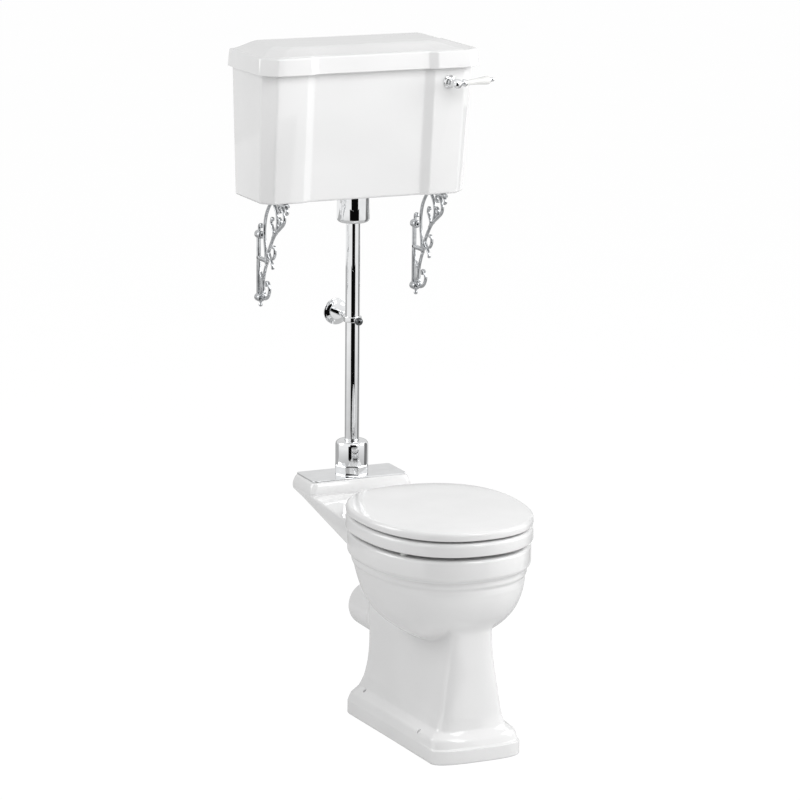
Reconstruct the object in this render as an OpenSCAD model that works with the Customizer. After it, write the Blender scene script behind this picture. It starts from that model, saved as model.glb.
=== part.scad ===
// Medium level toilet: china pan and seat on the floor, cistern on wall brackets, flush pipe between.
// Frame: X to the right as seen from the front, Y back to the wall, Z up.
// Origin: on the floor at the centre of the four floor screw holes.

/* [Setting out] */
// Distance from the origin back to the face of the wall
wall_y = 535; // [500:1:600]
// Distance of the flush pipe's axis from the wall
pipe_off_wall = 92; // [85:1:110]
// Height of the pan's rim
rim_z = 440; // [420:1:460]
// Height of the cistern's underside
cistern_z = 1097; // [1000:1:1300]

/* [Pan] */
// Half width of the rim
rim_half_w = 181; // [170:1:190]
// Length of the rim in front of its widest point
rim_front = 242; // [225:1:255]
// Length of the rim behind its widest point
rim_rear = 190; // [180:1:200]
// Roundness of the rim and seat outlines (2 is an ellipse)
outline_power = 2.3; // [2.0:0.05:2.8]
// Depth of the plain band round the rim
rim_band = 42; // [30:1:60]
// Half width of the foot at the front
foot_front_half = 103; // [95:1:110]
// Half width of the foot at the back
foot_rear_half = 121; // [112:1:130]
// Height of the foot's upright edge
foot_h = 30; // [20:1:45]
// Height of the rear platform above the rim
platform_rise = 27; // [15:1:40]
// Width of the rear platform
platform_w = 229; // [200:1:260]
// Depth of the rear platform, front to back
platform_d = 104; // [96:1:120]
// Height of the outlet's axis above the floor
outlet_z = 195; // [180:1:200]
// Outer radius of the outlet spigot
outlet_r = 51; // [48:0.5:53]
// Bore radius of the outlet spigot
outlet_bore_r = 43; // [38:0.5:44]
// Distance of the spigot's end from the wall
outlet_off_wall = 193; // [170:1:215]
// Spacing of the floor screw holes across the foot
screw_dx = 196; // [190:1:200]
// Spacing of the floor screw holes front to back
screw_dy = 282; // [250:1:300]
// Radius of the floor screw holes
screw_hole_r = 4; // [3:0.5:5]

/* [Seat] */
// Overhang of the seat past the rim
seat_over = 4; // [0:1:8]
// Thickness of the seat ring
ring_t = 29.5; // [18:0.5:32]
// Thickness of the seat cover
cover_t = 20; // [14:0.5:24]
// Height of the buffers under the ring
ring_buffer_h = 8.5; // [5:0.5:12]
// Height of the buffers under the cover
cover_buffer_h = 5; // [4.5:0.5:8]
// Half width of the opening in the ring
ring_open_half = 112; // [100:1:120]
// Spacing of the two hinge bolts
hinge_spacing = 155; // [140:1:165]
// Radius of the hinge rod
hinge_rod_r = 4; // [3:0.5:5]
// Distance of the hinge axis behind the seat's back edge
hinge_back = 16; // [13:1:25]

/* [Flush pipe] */
// Outer radius of the flush pipe
pipe_r = 16; // [14:0.5:20]
// Wall of the flush pipe
pipe_t = 1.5; // [1:0.25:3]
// Thickness of the cover plate
plate_t = 3; // [2:0.5:5]
// Radius of the bell and of the cup on the pipe
cup_r = 36.5; // [32:0.5:42]
// Height of the bell on the plate
bell_h = 54; // [40:1:70]
// Height of the base nut under the bell
base_nut_h = 21; // [12:1:30]
// Height of the outlet cup under the cistern
outlet_cup_h = 60; // [45:1:75]
// Height of the wall clip's axis
clip_z = 819; // [700:1:950]
// Radius of the wall clip's flange
clip_flange_r = 30; // [20:1:40]

/* [Cistern] */
// Width of the cistern at its top
body_top_w = 497; // [470:1:520]
// Width of the cistern at its bottom
body_bot_w = 483; // [460:1:500]
// Depth of the cistern at its top
body_top_d = 193; // [180:1:210]
// Depth of the cistern at its bottom
body_bot_d = 164; // [150:1:180]
// Height of the cistern body without its lid
body_h = 291; // [250:1:330]
// Thickness of the cistern's walls
body_wall = 10; // [7:0.5:14]
// Depth of the sunk panel in the front
panel_sunk = 9; // [4:0.5:14]
// Width of the block at each side of the sunk panel, from the cistern's side
block_w = 99.5; // [85:0.5:120]
// Width of the slope at each side of the panel
panel_slope = 19; // [8:1:26]
// Width of the lid
lid_w = 520; // [500:1:540]
// Depth of the lid
lid_d = 211; // [200:1:230]
// Height of the lid's skirt
lid_skirt = 38; // [28:1:50]
// Rise of the lid's middle above its edge
lid_rise = 15; // [5:1:25]
// Chamfer on the front corners of the lid
lid_chamfer = 30; // [15:1:45]

/* [Flush lever] */
// Distance of the lever's axis in from the cistern's side
lever_in = 64.5; // [55:0.5:78]
// Height of the lever's axis above the cistern's underside
lever_up = 252; // [225:1:256]
// Distance of the lever's hub in front of the cistern
lever_out = 40; // [25:1:55]
// Radius of the lever's rose
rose_r = 15; // [12:0.5:18]
// Length of the lever from its axis to its tip
lever_len = 89; // [75:1:110]
// Radius of the lever's spindle
spindle_r = 5; // [4:0.5:6]

/* [Cistern works] */
// Distance of the siphon's chamber from the centre line
siphon_x = 70; // [66:1:80]
// Outer radius of the siphon's chamber
siphon_r = 42; // [36:1:45]
// Outer radius of the siphon's down leg
leg_r = 21; // [19.5:0.5:22]
// Place of the inlet valve between the reach of the siphon's chamber (0) and the bracket (1)
valve_share = 0.5; // [0.4:0.02:0.6]
// Distance of the inlet valve from the wall
valve_off_wall = 42; // [38:1:60]
// Outer radius of the inlet tail
tail_r = 10.5; // [10:0.1:13.5]
// Radius of the float ball
float_r = 29; // [25:1:30]
// Length of the float arm
float_arm_len = 85; // [75:1:90]

/* [Brackets] */
// Distance of each bracket in from the side of the cistern's bottom
bracket_in = 53.5; // [42:0.5:60]
// Height of each bracket
bracket_h = 235; // [200:1:260]
// Thickness of a bracket
bracket_t = 8; // [5:0.5:12]
// Width of the strap that the scrolls are made of
strap_w = 6; // [4:0.5:8]
// Radius of the bracket's screw holes
bracket_hole_r = 2.5; // [2:0.25:3]

/* [Hidden] */
$fn = 64;

// Clearances between pieces
free_gap = 0.3;
running_gap = 0.08;
thread_gap = 0.3;
eps = 0.01;

china = [0.95, 0.95, 0.94];
bright = [0.78, 0.79, 0.80];
rubber = [0.18, 0.18, 0.18];
plastic = [0.93, 0.93, 0.90];
brass_colour = [0.80, 0.66, 0.35];

// Derived places
pipe_y = wall_y - pipe_off_wall;
seat_y = -4;
ring_z = rim_z + ring_buffer_h;
cover_z = ring_z + ring_t + cover_buffer_h;
seat_half_w = rim_half_w + seat_over;
seat_front = rim_front + seat_over;
seat_rear = rim_rear + seat_over;
hinge_y = seat_y + seat_rear + hinge_back;
hinge_z = ring_z + 21.5;
platform_z = rim_z + platform_rise;
plate_top_z = platform_z + plate_t;
nut_top_z = plate_top_z + base_nut_h;
bell_top_z = nut_top_z + bell_h;
body_top_z = cistern_z + body_h;
cup_top_z = cistern_z - 1;
cup_bot_z = cup_top_z - outlet_cup_h;
hole_r = pipe_r + free_gap;
outlet_end_y = wall_y - outlet_off_wall;
lever_x = body_top_w / 2 - lever_in;
lever_z = cistern_z + lever_up;
face_slope = atan((body_top_d - body_bot_d) / body_h);
face_y = wall_y - body_bot_d - (body_top_d - body_bot_d) * lever_up / body_h;
hub_y = face_y - lever_out;
panel_half_w = body_top_w / 2 - block_w;
bracket_x = body_bot_w / 2 - bracket_in;
siphon_reach = siphon_x + siphon_r;
valve_x = siphon_reach + valve_share * (bracket_x - siphon_reach);
valve_y = wall_y - valve_off_wall;

// One level of the round forms: half width, front length, back length, middle, height
loft_sides = 36;
function egg(a, front, back, mid, z, power = outline_power) = [
    for (i = [0 : loft_sides - 1])
        let (t = 360 * i / loft_sides, c = cos(t), s = sin(t))
        [a * sign(c) * pow(abs(c), 2 / power),
         mid + (s > 0 ? back : front) * sign(s) * pow(abs(s), 2 / power), z]];

// One level of the pedestal: a bowed front and a blunt back joined by straight sides
function foot(front_half, rear_half, front_y, bow, rear_y, round_d, z) = [
    for (i = [0 : loft_sides - 1])
        let (t = 360 * (i + 0.5) / loft_sides, c = cos(t), s = sin(t))
        s > 0
            ? [rear_half * sign(c) * pow(abs(c), 2 / 3.4), rear_y + round_d * pow(s, 2 / 3.4), z]
            : [front_half * sign(c) * pow(abs(c), 2 / 3), front_y - bow * pow(-s, 2 / 3), z]];

// Solid through a list of levels, each with the same number of points
module loft(levels) {
    n = len(levels[0]);
    m = len(levels);
    polyhedron(
        points = [for (level = levels) each level],
        faces = concat(
            [[for (i = [0 : n - 1]) i]],
            [[for (i = [n - 1 : -1 : 0]) (m - 1) * n + i]],
            [for (j = [0 : m - 2]) for (i = [0 : n - 1])
                [j * n + i, (j + 1) * n + i, (j + 1) * n + (i + 1) % n]],
            [for (j = [0 : m - 2]) for (i = [0 : n - 1])
                [j * n + i, (j + 1) * n + (i + 1) % n, j * n + (i + 1) % n]]),
        convexity = 6);
}

module tube(outer, inner, h) {
    difference() {
        cylinder(r = outer, h = h);
        translate([0, 0, -1]) cylinder(r = inner, h = h + 2);
    }
}

// Round bar between two points of the plane X = 0
module rod_yz(y1, z1, y2, z2, r) {
    l = sqrt(pow(y2 - y1, 2) + pow(z2 - z1, 2));
    translate([0, y1, z1]) rotate([-atan2(y2 - y1, z2 - z1), 0, 0]) cylinder(r = r, h = l);
}

// Cylinder along +Y from y1 to y2
module along_y(y1, y2, r, x = 0, z = 0) {
    translate([x, y1, z]) rotate([-90, 0, 0]) cylinder(r = r, h = y2 - y1);
}

// Cylinder along +X from x1 to x2
module along_x(x1, x2, r, y = 0, z = 0) {
    translate([x1, y, z]) rotate([0, 90, 0]) cylinder(r = r, h = x2 - x1);
}

module rounded_plate(w, d, r) {
    union() {
        square([w - 2 * r, d], center = true);
        square([w, d - 2 * r], center = true);
        for (sx = [-1, 1], sy = [-1, 1])
            translate([sx * (w / 2 - r), sy * (d / 2 - r)]) circle(r = r);
    }
}

// Pan outside: depth under the rim, share of the rim's size, forward shift
bowl_levels = [
    [200, 0.48, -12], [188, 0.58, -12], [174, 0.67, -12], [158, 0.75, -12], [140, 0.815, -12],
    [120, 0.865, -11], [100, 0.90, -9], [80, 0.925, -6], [rim_band + 26, 0.935, -2],
    [rim_band + 20, 0.955, -2], [rim_band + 8, 0.957, 0], [rim_band, 1, 0], [5, 1, 0], [0, 0.985, 0]];

module bowl_outside() {
    loft([for (l = bowl_levels)
        egg(rim_half_w * l[1], rim_front * l[1], rim_rear * l[1], seat_y + l[2], rim_z - l[0])]);
}

// Pan inside: depth under the rim, half width, front, back, middle
rim_deep = 40;
bowl_inside_levels = [
    [294, 34, 38, 44, 14], [270, 42, 48, 54, 12], [235, 46, 58, 62, 8], [202, 54, 74, 66, 2],
    [188, 72, 100, 80, -6], [170, 98, 134, 96, -9], [140, 128, 176, 122, -11],
    [110, 144, 198, 142, -10], [80, 153, 211, 154, -6], [54, 160, 222, 164, -4],
    [rim_deep, 162, 224, 166, -4]];
opening_half = 128;
opening_front = 186;
opening_rear = 140;

module bowl_inside() {
    loft([for (l = bowl_inside_levels) egg(l[1], l[2], l[3], l[4], rim_z - l[0])]);
    loft([
        egg(opening_half, opening_front, opening_rear, seat_y, rim_z - rim_deep - 1),
        egg(opening_half, opening_front, opening_rear, seat_y, rim_z + 1)]);
}

// Pedestal levels: height, inset at the front and at the back, setback of the front, bow of the
// front, place of the back and its roundness
foot_front_y = -201;
pedestal_levels = [
    [0, 0, 0, 0, 36, 176, 25], [foot_h, 0, 0, 0, 36, 176, 25], [foot_h + 8, 2, 3, 2, 34, 175, 24],
    [foot_h + 17, 5, 7, 5, 32, 174, 24], [foot_h + 24, 11, 14, 10, 30, 173, 23],
    [foot_h + 34, 20, 26, 17, 28, 172, 22], [95, 26, 38, 22, 25, 168, 20], [150, 32, 46, 26, 25, 162, 20],
    [215, 38, 50, 30, 25, 162, 20], [290, 42, 52, 31, 25, 165, 20]];
module pedestal_outside() {
    loft([for (l = pedestal_levels)
        foot(foot_front_half - l[1], foot_rear_half - l[2], foot_front_y + l[3], l[4], l[5], l[6], l[0])]);
}

// Empty space left under the bowl by the casting
foot_flange = 32;
module pedestal_hollow() {
    f = foot_front_half - foot_flange;
    r = foot_rear_half - foot_flange;
    loft([
        foot(f, r, -172, 30, 148, 20, -1),
        foot(f, r, -172, 30, 148, 20, foot_h),
        foot(f - 5, r - 13, -166, 25, 146, 18, 80),
        foot(f - 13, r - 30, -160, 20, 138, 18, 134)]);
    loft([
        foot(f - 14, f - 14, -160, 20, -78, 12, 120),
        foot(f - 24, f - 24, -158, 20, -88, 12, 222)]);
}

crown_y = 150;
crown_z = 285;
drop_y = 205;
trap_bore_r = 38;
trap_wall = 11;
bend_more = 1;
spigot_l = 104;
collar_out = 3;
module trap_outside() {
    rod_yz(30, 185, crown_y, crown_z, trap_bore_r + trap_wall);
    translate([0, crown_y, crown_z]) sphere(r = trap_bore_r + trap_wall + bend_more);
    rod_yz(crown_y, crown_z, drop_y, outlet_z, trap_bore_r + trap_wall);
    along_y(crown_y, outlet_end_y - spigot_l, outlet_r + collar_out, 0, outlet_z);
    along_y(crown_y, outlet_end_y, outlet_r, 0, outlet_z);
}

module trap_inside() {
    rod_yz(20, 180, crown_y, crown_z, trap_bore_r);
    translate([0, crown_y, crown_z]) sphere(r = trap_bore_r + bend_more);
    rod_yz(crown_y, crown_z, drop_y, outlet_z, trap_bore_r);
    translate([0, drop_y, outlet_z]) sphere(r = outlet_bore_r + bend_more);
    along_y(drop_y, outlet_end_y + 1, outlet_bore_r, 0, outlet_z);
}

// Rear deck between bowl and platform, with the flush inlet horn under it
horn_z = rim_z - 30;
horn_r = 34;
channel_r = 18;
socket_r = 26;
deck_front_half = 140;
deck_front_z = rim_z - 60;
deck_wall = 14;
deck_under_z = rim_z - deck_wall;
deck_back_y = pipe_y + platform_d / 2;
pocket_y = seat_y + rim_rear + 4;
module rear_deck() {
    difference() {
        hull() {
            translate([-deck_front_half, 110, deck_front_z])
                cube([2 * deck_front_half, 10, rim_z - deck_front_z]);
            translate([-platform_w / 2, deck_back_y - 5, rim_z - 12]) cube([platform_w, 5, 12]);
        }
        hull() {
            translate([-deck_front_half + deck_wall + 4, pocket_y, deck_front_z - 20])
                cube([2 * (deck_front_half - deck_wall - 4), 5, deck_under_z - deck_front_z + 20]);
            translate([-platform_w / 2 + deck_wall, deck_back_y - deck_wall - 5, deck_front_z - 20])
                cube([platform_w - 2 * deck_wall, 5, deck_under_z - deck_front_z + 20]);
        }
    }
    translate([0, pipe_y, rim_z - 6])
        linear_extrude(platform_rise + 6) rounded_plate(platform_w, platform_d, 8);
    along_y(150, pipe_y, horn_r - 4, 0, horn_z);
    translate([0, pipe_y, horn_z]) sphere(r = horn_r);
}

module flush_way() {
    translate([0, pipe_y, horn_z]) cylinder(r = socket_r, h = platform_z - horn_z + 1);
    along_y(100, pipe_y, channel_r, 0, horn_z);
}

bolt_hole_r = 6;
module pan() {
    color(china) difference() {
        union() {
            bowl_outside();
            pedestal_outside();
            rear_deck();
            trap_outside();
        }
        union() {
            bowl_inside();
            trap_inside();
            flush_way();
        }
        pedestal_hollow();
        for (sx = [-1, 1]) {
            translate([sx * hinge_spacing / 2, hinge_y, 300]) cylinder(r = bolt_hole_r, h = 200);
            for (sy = [-1, 1])
                translate([sx * screw_dx / 2, sy * screw_dy / 2, -1])
                    cylinder(r = screw_hole_r, h = 80);
        }
    }
}

// Flush pipe and its fittings
seal_h = 20;
module inlet_seal() {
    color(rubber) translate([0, pipe_y, platform_z - seal_h - 1])
        tube(socket_r - free_gap, hole_r, seal_h);
}

module cover_plate() {
    color(bright) translate([0, pipe_y, platform_z]) linear_extrude(plate_t) difference() {
        rounded_plate(platform_w - 2, platform_d - 4, 7);
        circle(r = hole_r);
    }
}

module base_nut() {
    color(bright) translate([0, pipe_y, plate_top_z]) difference() {
        cylinder(r = cup_r + 3, h = base_nut_h, $fn = 8);
        translate([0, 0, -1]) cylinder(r = hole_r, h = base_nut_h + 2);
    }
}

// Cup with a rounded closed end at the top, turned about Z
cup_t = 3;
module round_cup(h, shoulder) {
    rotate_extrude() difference() {
        union() {
            square([cup_r, h - shoulder]);
            square([cup_r - shoulder, h]);
            translate([cup_r - shoulder, h - shoulder]) circle(r = shoulder);
        }
        translate([-cup_r - 1, -1]) square([cup_r + 1 + hole_r, h + 2]);
        translate([0, -1]) square([cup_r - cup_t, h - shoulder + 1]);
    }
}

bell_shoulder = 12;
module bell_cover() {
    color(bright) translate([0, pipe_y, nut_top_z]) round_cup(bell_h, bell_shoulder);
}

cup_shoulder = 10;
module outlet_cup() {
    color(bright) translate([0, pipe_y, cup_top_z]) mirror([0, 0, 1]) round_cup(outlet_cup_h, cup_shoulder);
}

pipe_bot_z = horn_z + 18;
pipe_top_z = cistern_z - 22;
module flush_pipe() {
    color(bright) translate([0, pipe_y, pipe_bot_z])
        tube(pipe_r, pipe_r - pipe_t, pipe_top_z - pipe_bot_z);
}

// The seal stands on the cup's floor, and the siphon's tail presses on it
cone_h = 6;
cone_z = cup_bot_z + cup_shoulder;
module cone_seal() {
    color(rubber) translate([0, pipe_y, cone_z]) tube(leg_r + 6, hole_r, cone_h);
}

// Wall clip
clip_h = 12;
clip_t = 4.5;
flange_t = 6;
module clip_flange() {
    color(bright) translate([0, wall_y, clip_z]) rotate([90, 0, 0]) union() {
        cylinder(r = clip_flange_r, h = flange_t / 2);
        translate([0, 0, flange_t / 2])
            cylinder(r1 = clip_flange_r, r2 = clip_flange_r * 0.55, h = flange_t / 2);
    }
}

module clip_arm() {
    color(bright) difference() {
        along_y(pipe_y + pipe_r + 1, wall_y - flange_t, 6, 0, clip_z);
        translate([0, pipe_y, clip_z - 20]) cylinder(r = pipe_r + clip_t + free_gap, h = 40);
    }
}

lug_r = 5;
lug_out = 5;
module clip_ring() {
    color(bright) difference() {
        union() {
            translate([0, pipe_y, clip_z - clip_h / 2]) cylinder(r = pipe_r + clip_t, h = clip_h);
            along_y(pipe_y - pipe_r - clip_t - lug_out, pipe_y, lug_r, 0, clip_z);
        }
        translate([0, pipe_y, clip_z - clip_h]) cylinder(r = hole_r, h = 2 * clip_h);
    }
}

finial_r = 9;
module clip_finial() {
    lug_end = pipe_y - pipe_r - clip_t - lug_out;
    color(bright) union() {
        translate([0, lug_end - finial_r, clip_z]) sphere(r = finial_r);
        along_y(lug_end - 4, lug_end, lug_r, 0, clip_z);
    }
}

// Cistern outline seen from above, from back left round the front to back right
function outline(half, depth, chamfer, sunk) =
    let (front = wall_y - depth, panel = wall_y - depth + sunk)
    [[-half, wall_y], [-half, front + chamfer], [-half + chamfer, front], [-panel_half_w, front],
     [-panel_half_w + panel_slope, panel], [panel_half_w - panel_slope, panel],
     [panel_half_w, front], [half - chamfer, front], [half, front + chamfer], [half, wall_y]];

// The same outline moved in from every side
function inner(half, depth, chamfer, sunk, by) =
    let (front = wall_y - depth + by, panel = wall_y - depth + sunk + by)
    [[-half + by, wall_y - by], [-half + by, front + chamfer], [-half + by + chamfer, front],
     [-panel_half_w, front], [-panel_half_w + panel_slope, panel],
     [panel_half_w - panel_slope, panel], [panel_half_w, front],
     [half - by - chamfer, front], [half - by, front + chamfer], [half - by, wall_y - by]];

function at_height(points, z) = [for (p = points) [p[0], p[1], z]];

body_top_chamfer = 27;
body_bot_chamfer = 23;
rose_hole_r = 9;
fixing_dx = 300;
fixing_r = 5;
fixing_z = cistern_z + 235;
module cistern_body() {
    color(china) difference() {
        cistern_shell();
        translate([0, pipe_y, cistern_z - 1]) cylinder(r = leg_r + 1.5, h = body_wall + 2);
        translate([-valve_x, valve_y, cistern_z - 1]) cylinder(r = shank_r + 1, h = body_wall + 2);
        along_y(face_y - 20, face_y + 20, rose_hole_r + free_gap, lever_x, lever_z);
        for (sx = [-1, 1]) along_y(wall_y - 20, wall_y + 5, fixing_r, sx * fixing_dx / 2, fixing_z);
    }
}

// Width, depth and chamfer of the body at a height
function body_share(z) = (z - cistern_z) / body_h;
function body_half(z) = (body_bot_w + (body_top_w - body_bot_w) * body_share(z)) / 2;
function body_depth(z) = body_bot_d + (body_top_d - body_bot_d) * body_share(z);
function body_chamfer(z) = body_bot_chamfer + (body_top_chamfer - body_bot_chamfer) * body_share(z);

// Tapered block, drawn longer than it is and then cut square at the bottom, the top and the back
over = 5;
module body_block(by, bottom, top) {
    intersection() {
        loft([for (z = [bottom - over, top + over])
            at_height([for (p = inner(body_half(z), body_depth(z), body_chamfer(z), panel_sunk, by))
                [p[0], p[1] > wall_y - by - over ? wall_y + over : p[1]]], z)]);
        translate([-body_top_w, wall_y - by - 2 * body_top_d, bottom])
            cube([2 * body_top_w, 2 * body_top_d, top - bottom]);
    }
}

module cistern_shell() {
    difference() {
        body_block(0, cistern_z, body_top_z);
        body_block(body_wall, cistern_z + body_wall, body_top_z + 1);
    }
}

lid_over = 7;
lid_t = 10;
lid_z = body_top_z - lid_over;
lid_top_z = lid_z + lid_skirt;
lid_in = 6;
// One level of the lid's raised middle
function hip(half, depth, z) = let (front = wall_y - depth) [
    [-half, wall_y, z], [-half, front + lid_chamfer, z], [-half + lid_chamfer, front, z],
    [half - lid_chamfer, front, z], [half, front + lid_chamfer, z], [half, wall_y, z]];

lid_play = 1.5;
hip_back = 30;
hip_edge = 4;
hip_in = 68;
module cistern_lid() {
    half = lid_w / 2;
    color(china) difference() {
        union() {
            loft([
                at_height(outline(half, lid_d, lid_chamfer, panel_sunk), lid_z),
                at_height(outline(half - lid_in / 2, lid_d - lid_in / 2, lid_chamfer, panel_sunk),
                    lid_top_z - 7),
                at_height(outline(half - lid_in, lid_d - lid_in, lid_chamfer, panel_sunk), lid_top_z)]);
            loft([
                hip(half - lid_in - hip_edge, lid_d - lid_in - panel_sunk - hip_edge, lid_top_z - 1),
                hip(half - lid_in - hip_edge, lid_d - lid_in - panel_sunk - hip_edge, lid_top_z),
                hip(half - hip_in * 0.62, lid_d - hip_in * 0.62, lid_top_z + lid_rise * 0.75),
                hip(half - hip_in, lid_d - hip_in, lid_top_z + lid_rise)]);
        }
        translate([0, 0, lid_z - 1]) linear_extrude(body_top_z + free_gap - lid_z + 1)
            polygon(inner(body_top_w / 2, body_top_d, body_top_chamfer, panel_sunk, -lid_play));
        translate([0, 0, body_top_z]) linear_extrude(lid_top_z - lid_t - body_top_z)
            polygon(inner(body_top_w / 2, body_top_d, body_top_chamfer, panel_sunk, body_wall + 4));
        translate([-half + hip_in + 8, wall_y - lid_d + hip_in + 8, lid_top_z - lid_t - 1])
            cube([lid_w - 2 * (hip_in + 8), lid_d - hip_in - 8 - hip_back, lid_rise + 1]);
    }
}

// Flush lever, outside and inside
sleeve_in = 8;
module lever_rose() {
    color(bright) difference() {
        union() {
            translate([lever_x, face_y, lever_z]) rotate([90 + face_slope, 0, 0]) union() {
                cylinder(r = rose_r, h = 3);
                translate([0, 0, 3]) cylinder(r1 = rose_r, r2 = rose_r - 5, h = 4);
            }
            along_y(face_y, face_y + body_wall + sleeve_in, rose_hole_r, lever_x, lever_z);
        }
        along_y(face_y - 20, face_y + 40, spindle_r + running_gap, lever_x, lever_z);
    }
}

locknut_h = 5;
module lever_locknut() {
    color(brass_colour) difference() {
        translate([lever_x, face_y + body_wall + 1.6, lever_z]) rotate([-90, 0, 0])
            cylinder(r = 15, h = locknut_h, $fn = 6);
        along_y(face_y - 20, face_y + 60, rose_hole_r + thread_gap, lever_x, lever_z);
    }
}

hub_r = 11;
collar_r = 8.5;
spindle_end_y = pipe_y + 9;
module lever_spindle() {
    color(bright) union() {
        along_y(hub_y + hub_r - 2, spindle_end_y, spindle_r, lever_x, lever_z);
        along_y(hub_y + hub_r - 2, hub_y + hub_r + 6, collar_r, lever_x, lever_z);
        along_y(face_y - 14, face_y - 9, collar_r, lever_x, lever_z);
    }
}

module lever_hub() {
    color(bright) difference() {
        union() {
            translate([lever_x, hub_y, lever_z]) sphere(r = hub_r);
            grip_axis() cylinder(r = 5, h = grip_at[0]);
        }
        along_y(hub_y + hub_r - 2, hub_y + 30, collar_r + 1, lever_x, lever_z);
    }
}

// Lengths along the handle from its axis: ferrule, grip, tip
grip_at = [13, 22, lever_len - 11, lever_len];
grip_rise = 4;
module grip_axis() {
    translate([lever_x, hub_y, lever_z]) rotate([0, 90 - grip_rise, 0]) children();
}

module lever_ferrule() {
    color(bright) grip_axis() translate([0, 0, grip_at[0]]) rotate_extrude()
        polygon([[0, 0], [6, 0], [8.5, 2], [8.5, 5], [6.5, 9], [0, 9]]);
}

module lever_grip() {
    grip_l = grip_at[2] - grip_at[1];
    color(china) grip_axis() translate([0, 0, grip_at[1]]) rotate_extrude()
        polygon([[0, 0], [6, 0], [6.3, grip_l * 0.25], [7.4, grip_l * 0.5], [9, grip_l * 0.75],
            [9.5, grip_l * 0.88], [8.6, grip_l * 0.96], [6, grip_l], [0, grip_l]]);
}

module lever_tip() {
    color(bright) grip_axis() translate([0, 0, grip_at[2]]) rotate_extrude()
        polygon([[0, 0], [6, 0], [6, 2], [3.5, 3.5], [5, 6], [4.8, 8.5], [3, 10.5], [0, 11]]);
}

arm_len = lever_x - siphon_x;
arm_t = 5;
arm_w = 12;
fork_w = 24;
slot_w = 9;
fork_in = 17;
fork_out = 16;
module lever_inner_arm() {
    color(brass_colour) difference() {
        union() {
            translate([siphon_x - fork_out, pipe_y - fork_w / 2, lever_z - arm_t / 2])
                cube([fork_out + fork_in + 6, fork_w, arm_t]);
            translate([siphon_x + fork_in, pipe_y - arm_w / 2, lever_z - arm_t / 2])
                cube([arm_len - fork_in, arm_w, arm_t]);
            along_y(pipe_y - arm_w / 2, pipe_y + arm_w / 2, spindle_r + 4, lever_x, lever_z);
        }
        translate([siphon_x - fork_out - 1, pipe_y - slot_w / 2, lever_z - arm_t])
            cube([fork_out + fork_in + 1, slot_w, 2 * arm_t]);
        along_y(pipe_y - 30, pipe_y + 30, spindle_r + running_gap, lever_x, lever_z);
    }
}

// Siphon: a chamber beside the down leg, joined over the top by a square head
siphon_wall = 2.5;
siphon_floor = cistern_z + body_wall;
chamber_z = siphon_floor + 6;
chamber_h = 84;
neck_h = 30;
head_h = 48;
head_half_d = leg_r + 3;
head_z = chamber_z + chamber_h + neck_h;
leg_bore_r = pipe_r + 1;
rod_r = 2.5;
tail_z = cone_z + cone_h + free_gap;
washer_t = 3;
module siphon_body() {
    color(plastic) difference() {
        union() {
            translate([siphon_x, pipe_y, chamber_z]) cylinder(r = siphon_r, h = chamber_h);
            translate([siphon_x, pipe_y, chamber_z]) cylinder(r = leg_r, h = head_z - chamber_z + 2);
            translate([0, pipe_y, tail_z]) cylinder(r = leg_r, h = head_z - tail_z + 2);
            translate([-head_half_d, pipe_y - head_half_d, head_z])
                cube([siphon_x + 2 * head_half_d, 2 * head_half_d, head_h]);
            translate([0, pipe_y, siphon_floor + washer_t]) cylinder(r = leg_r + 9, h = 4);
            translate([0, pipe_y - 4, chamber_z + 30]) cube([siphon_x - siphon_r + 2, 8, 30]);
        }
        translate([siphon_x, pipe_y, chamber_z - 1])
            cylinder(r = siphon_r - siphon_wall, h = chamber_h + 1 - siphon_wall);
        translate([siphon_x, pipe_y, chamber_z + 1]) cylinder(r = leg_bore_r, h = head_z - chamber_z + 2);
        translate([0, pipe_y, tail_z - 1]) cylinder(r = leg_bore_r, h = head_z - tail_z + 5);
        translate([-head_half_d + siphon_wall, pipe_y - head_half_d + siphon_wall, head_z + siphon_wall])
            cube([siphon_x + 2 * (head_half_d - siphon_wall), 2 * (head_half_d - siphon_wall),
                head_h - 2 * siphon_wall]);
        translate([siphon_x, pipe_y, head_z + head_h - 10]) cylinder(r = rod_r + free_gap, h = 20);
    }
}

module siphon_washer() {
    color(rubber) translate([0, pipe_y, siphon_floor]) tube(leg_r + 9, leg_r + free_gap, washer_t);
}

module siphon_backnut() {
    color(plastic) translate([0, pipe_y, cistern_z - 15]) difference() {
        cylinder(r = cup_r - 4.5, h = 14.7, $fn = 8);
        translate([0, 0, -1]) cylinder(r = leg_r + thread_gap, h = 20);
    }
}

disc_z = chamber_z + 8;
disc_t = 4;
stop_z = lever_z + arm_t / 2 + 2;
module lift_rod() {
    color(bright) translate([siphon_x, pipe_y, 0]) union() {
        translate([0, 0, disc_z + disc_t]) cylinder(r = rod_r, h = stop_z + 4 - disc_z - disc_t);
        translate([0, 0, stop_z]) cylinder(r = 7, h = 3);
    }
}

module plunger_disc() {
    color(plastic) translate([siphon_x, pipe_y, disc_z]) difference() {
        cylinder(r = siphon_r - siphon_wall - 1, h = disc_t);
        for (i = [0 : 5]) rotate(60 * i) translate([siphon_r * 0.5, 0, -1]) cylinder(r = 6, h = disc_t + 2);
    }
}

module plunger_flap() {
    color(rubber) translate([siphon_x, pipe_y, disc_z + disc_t])
        tube(siphon_r - siphon_wall - 2, rod_r + free_gap, 0.8);
}

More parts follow.
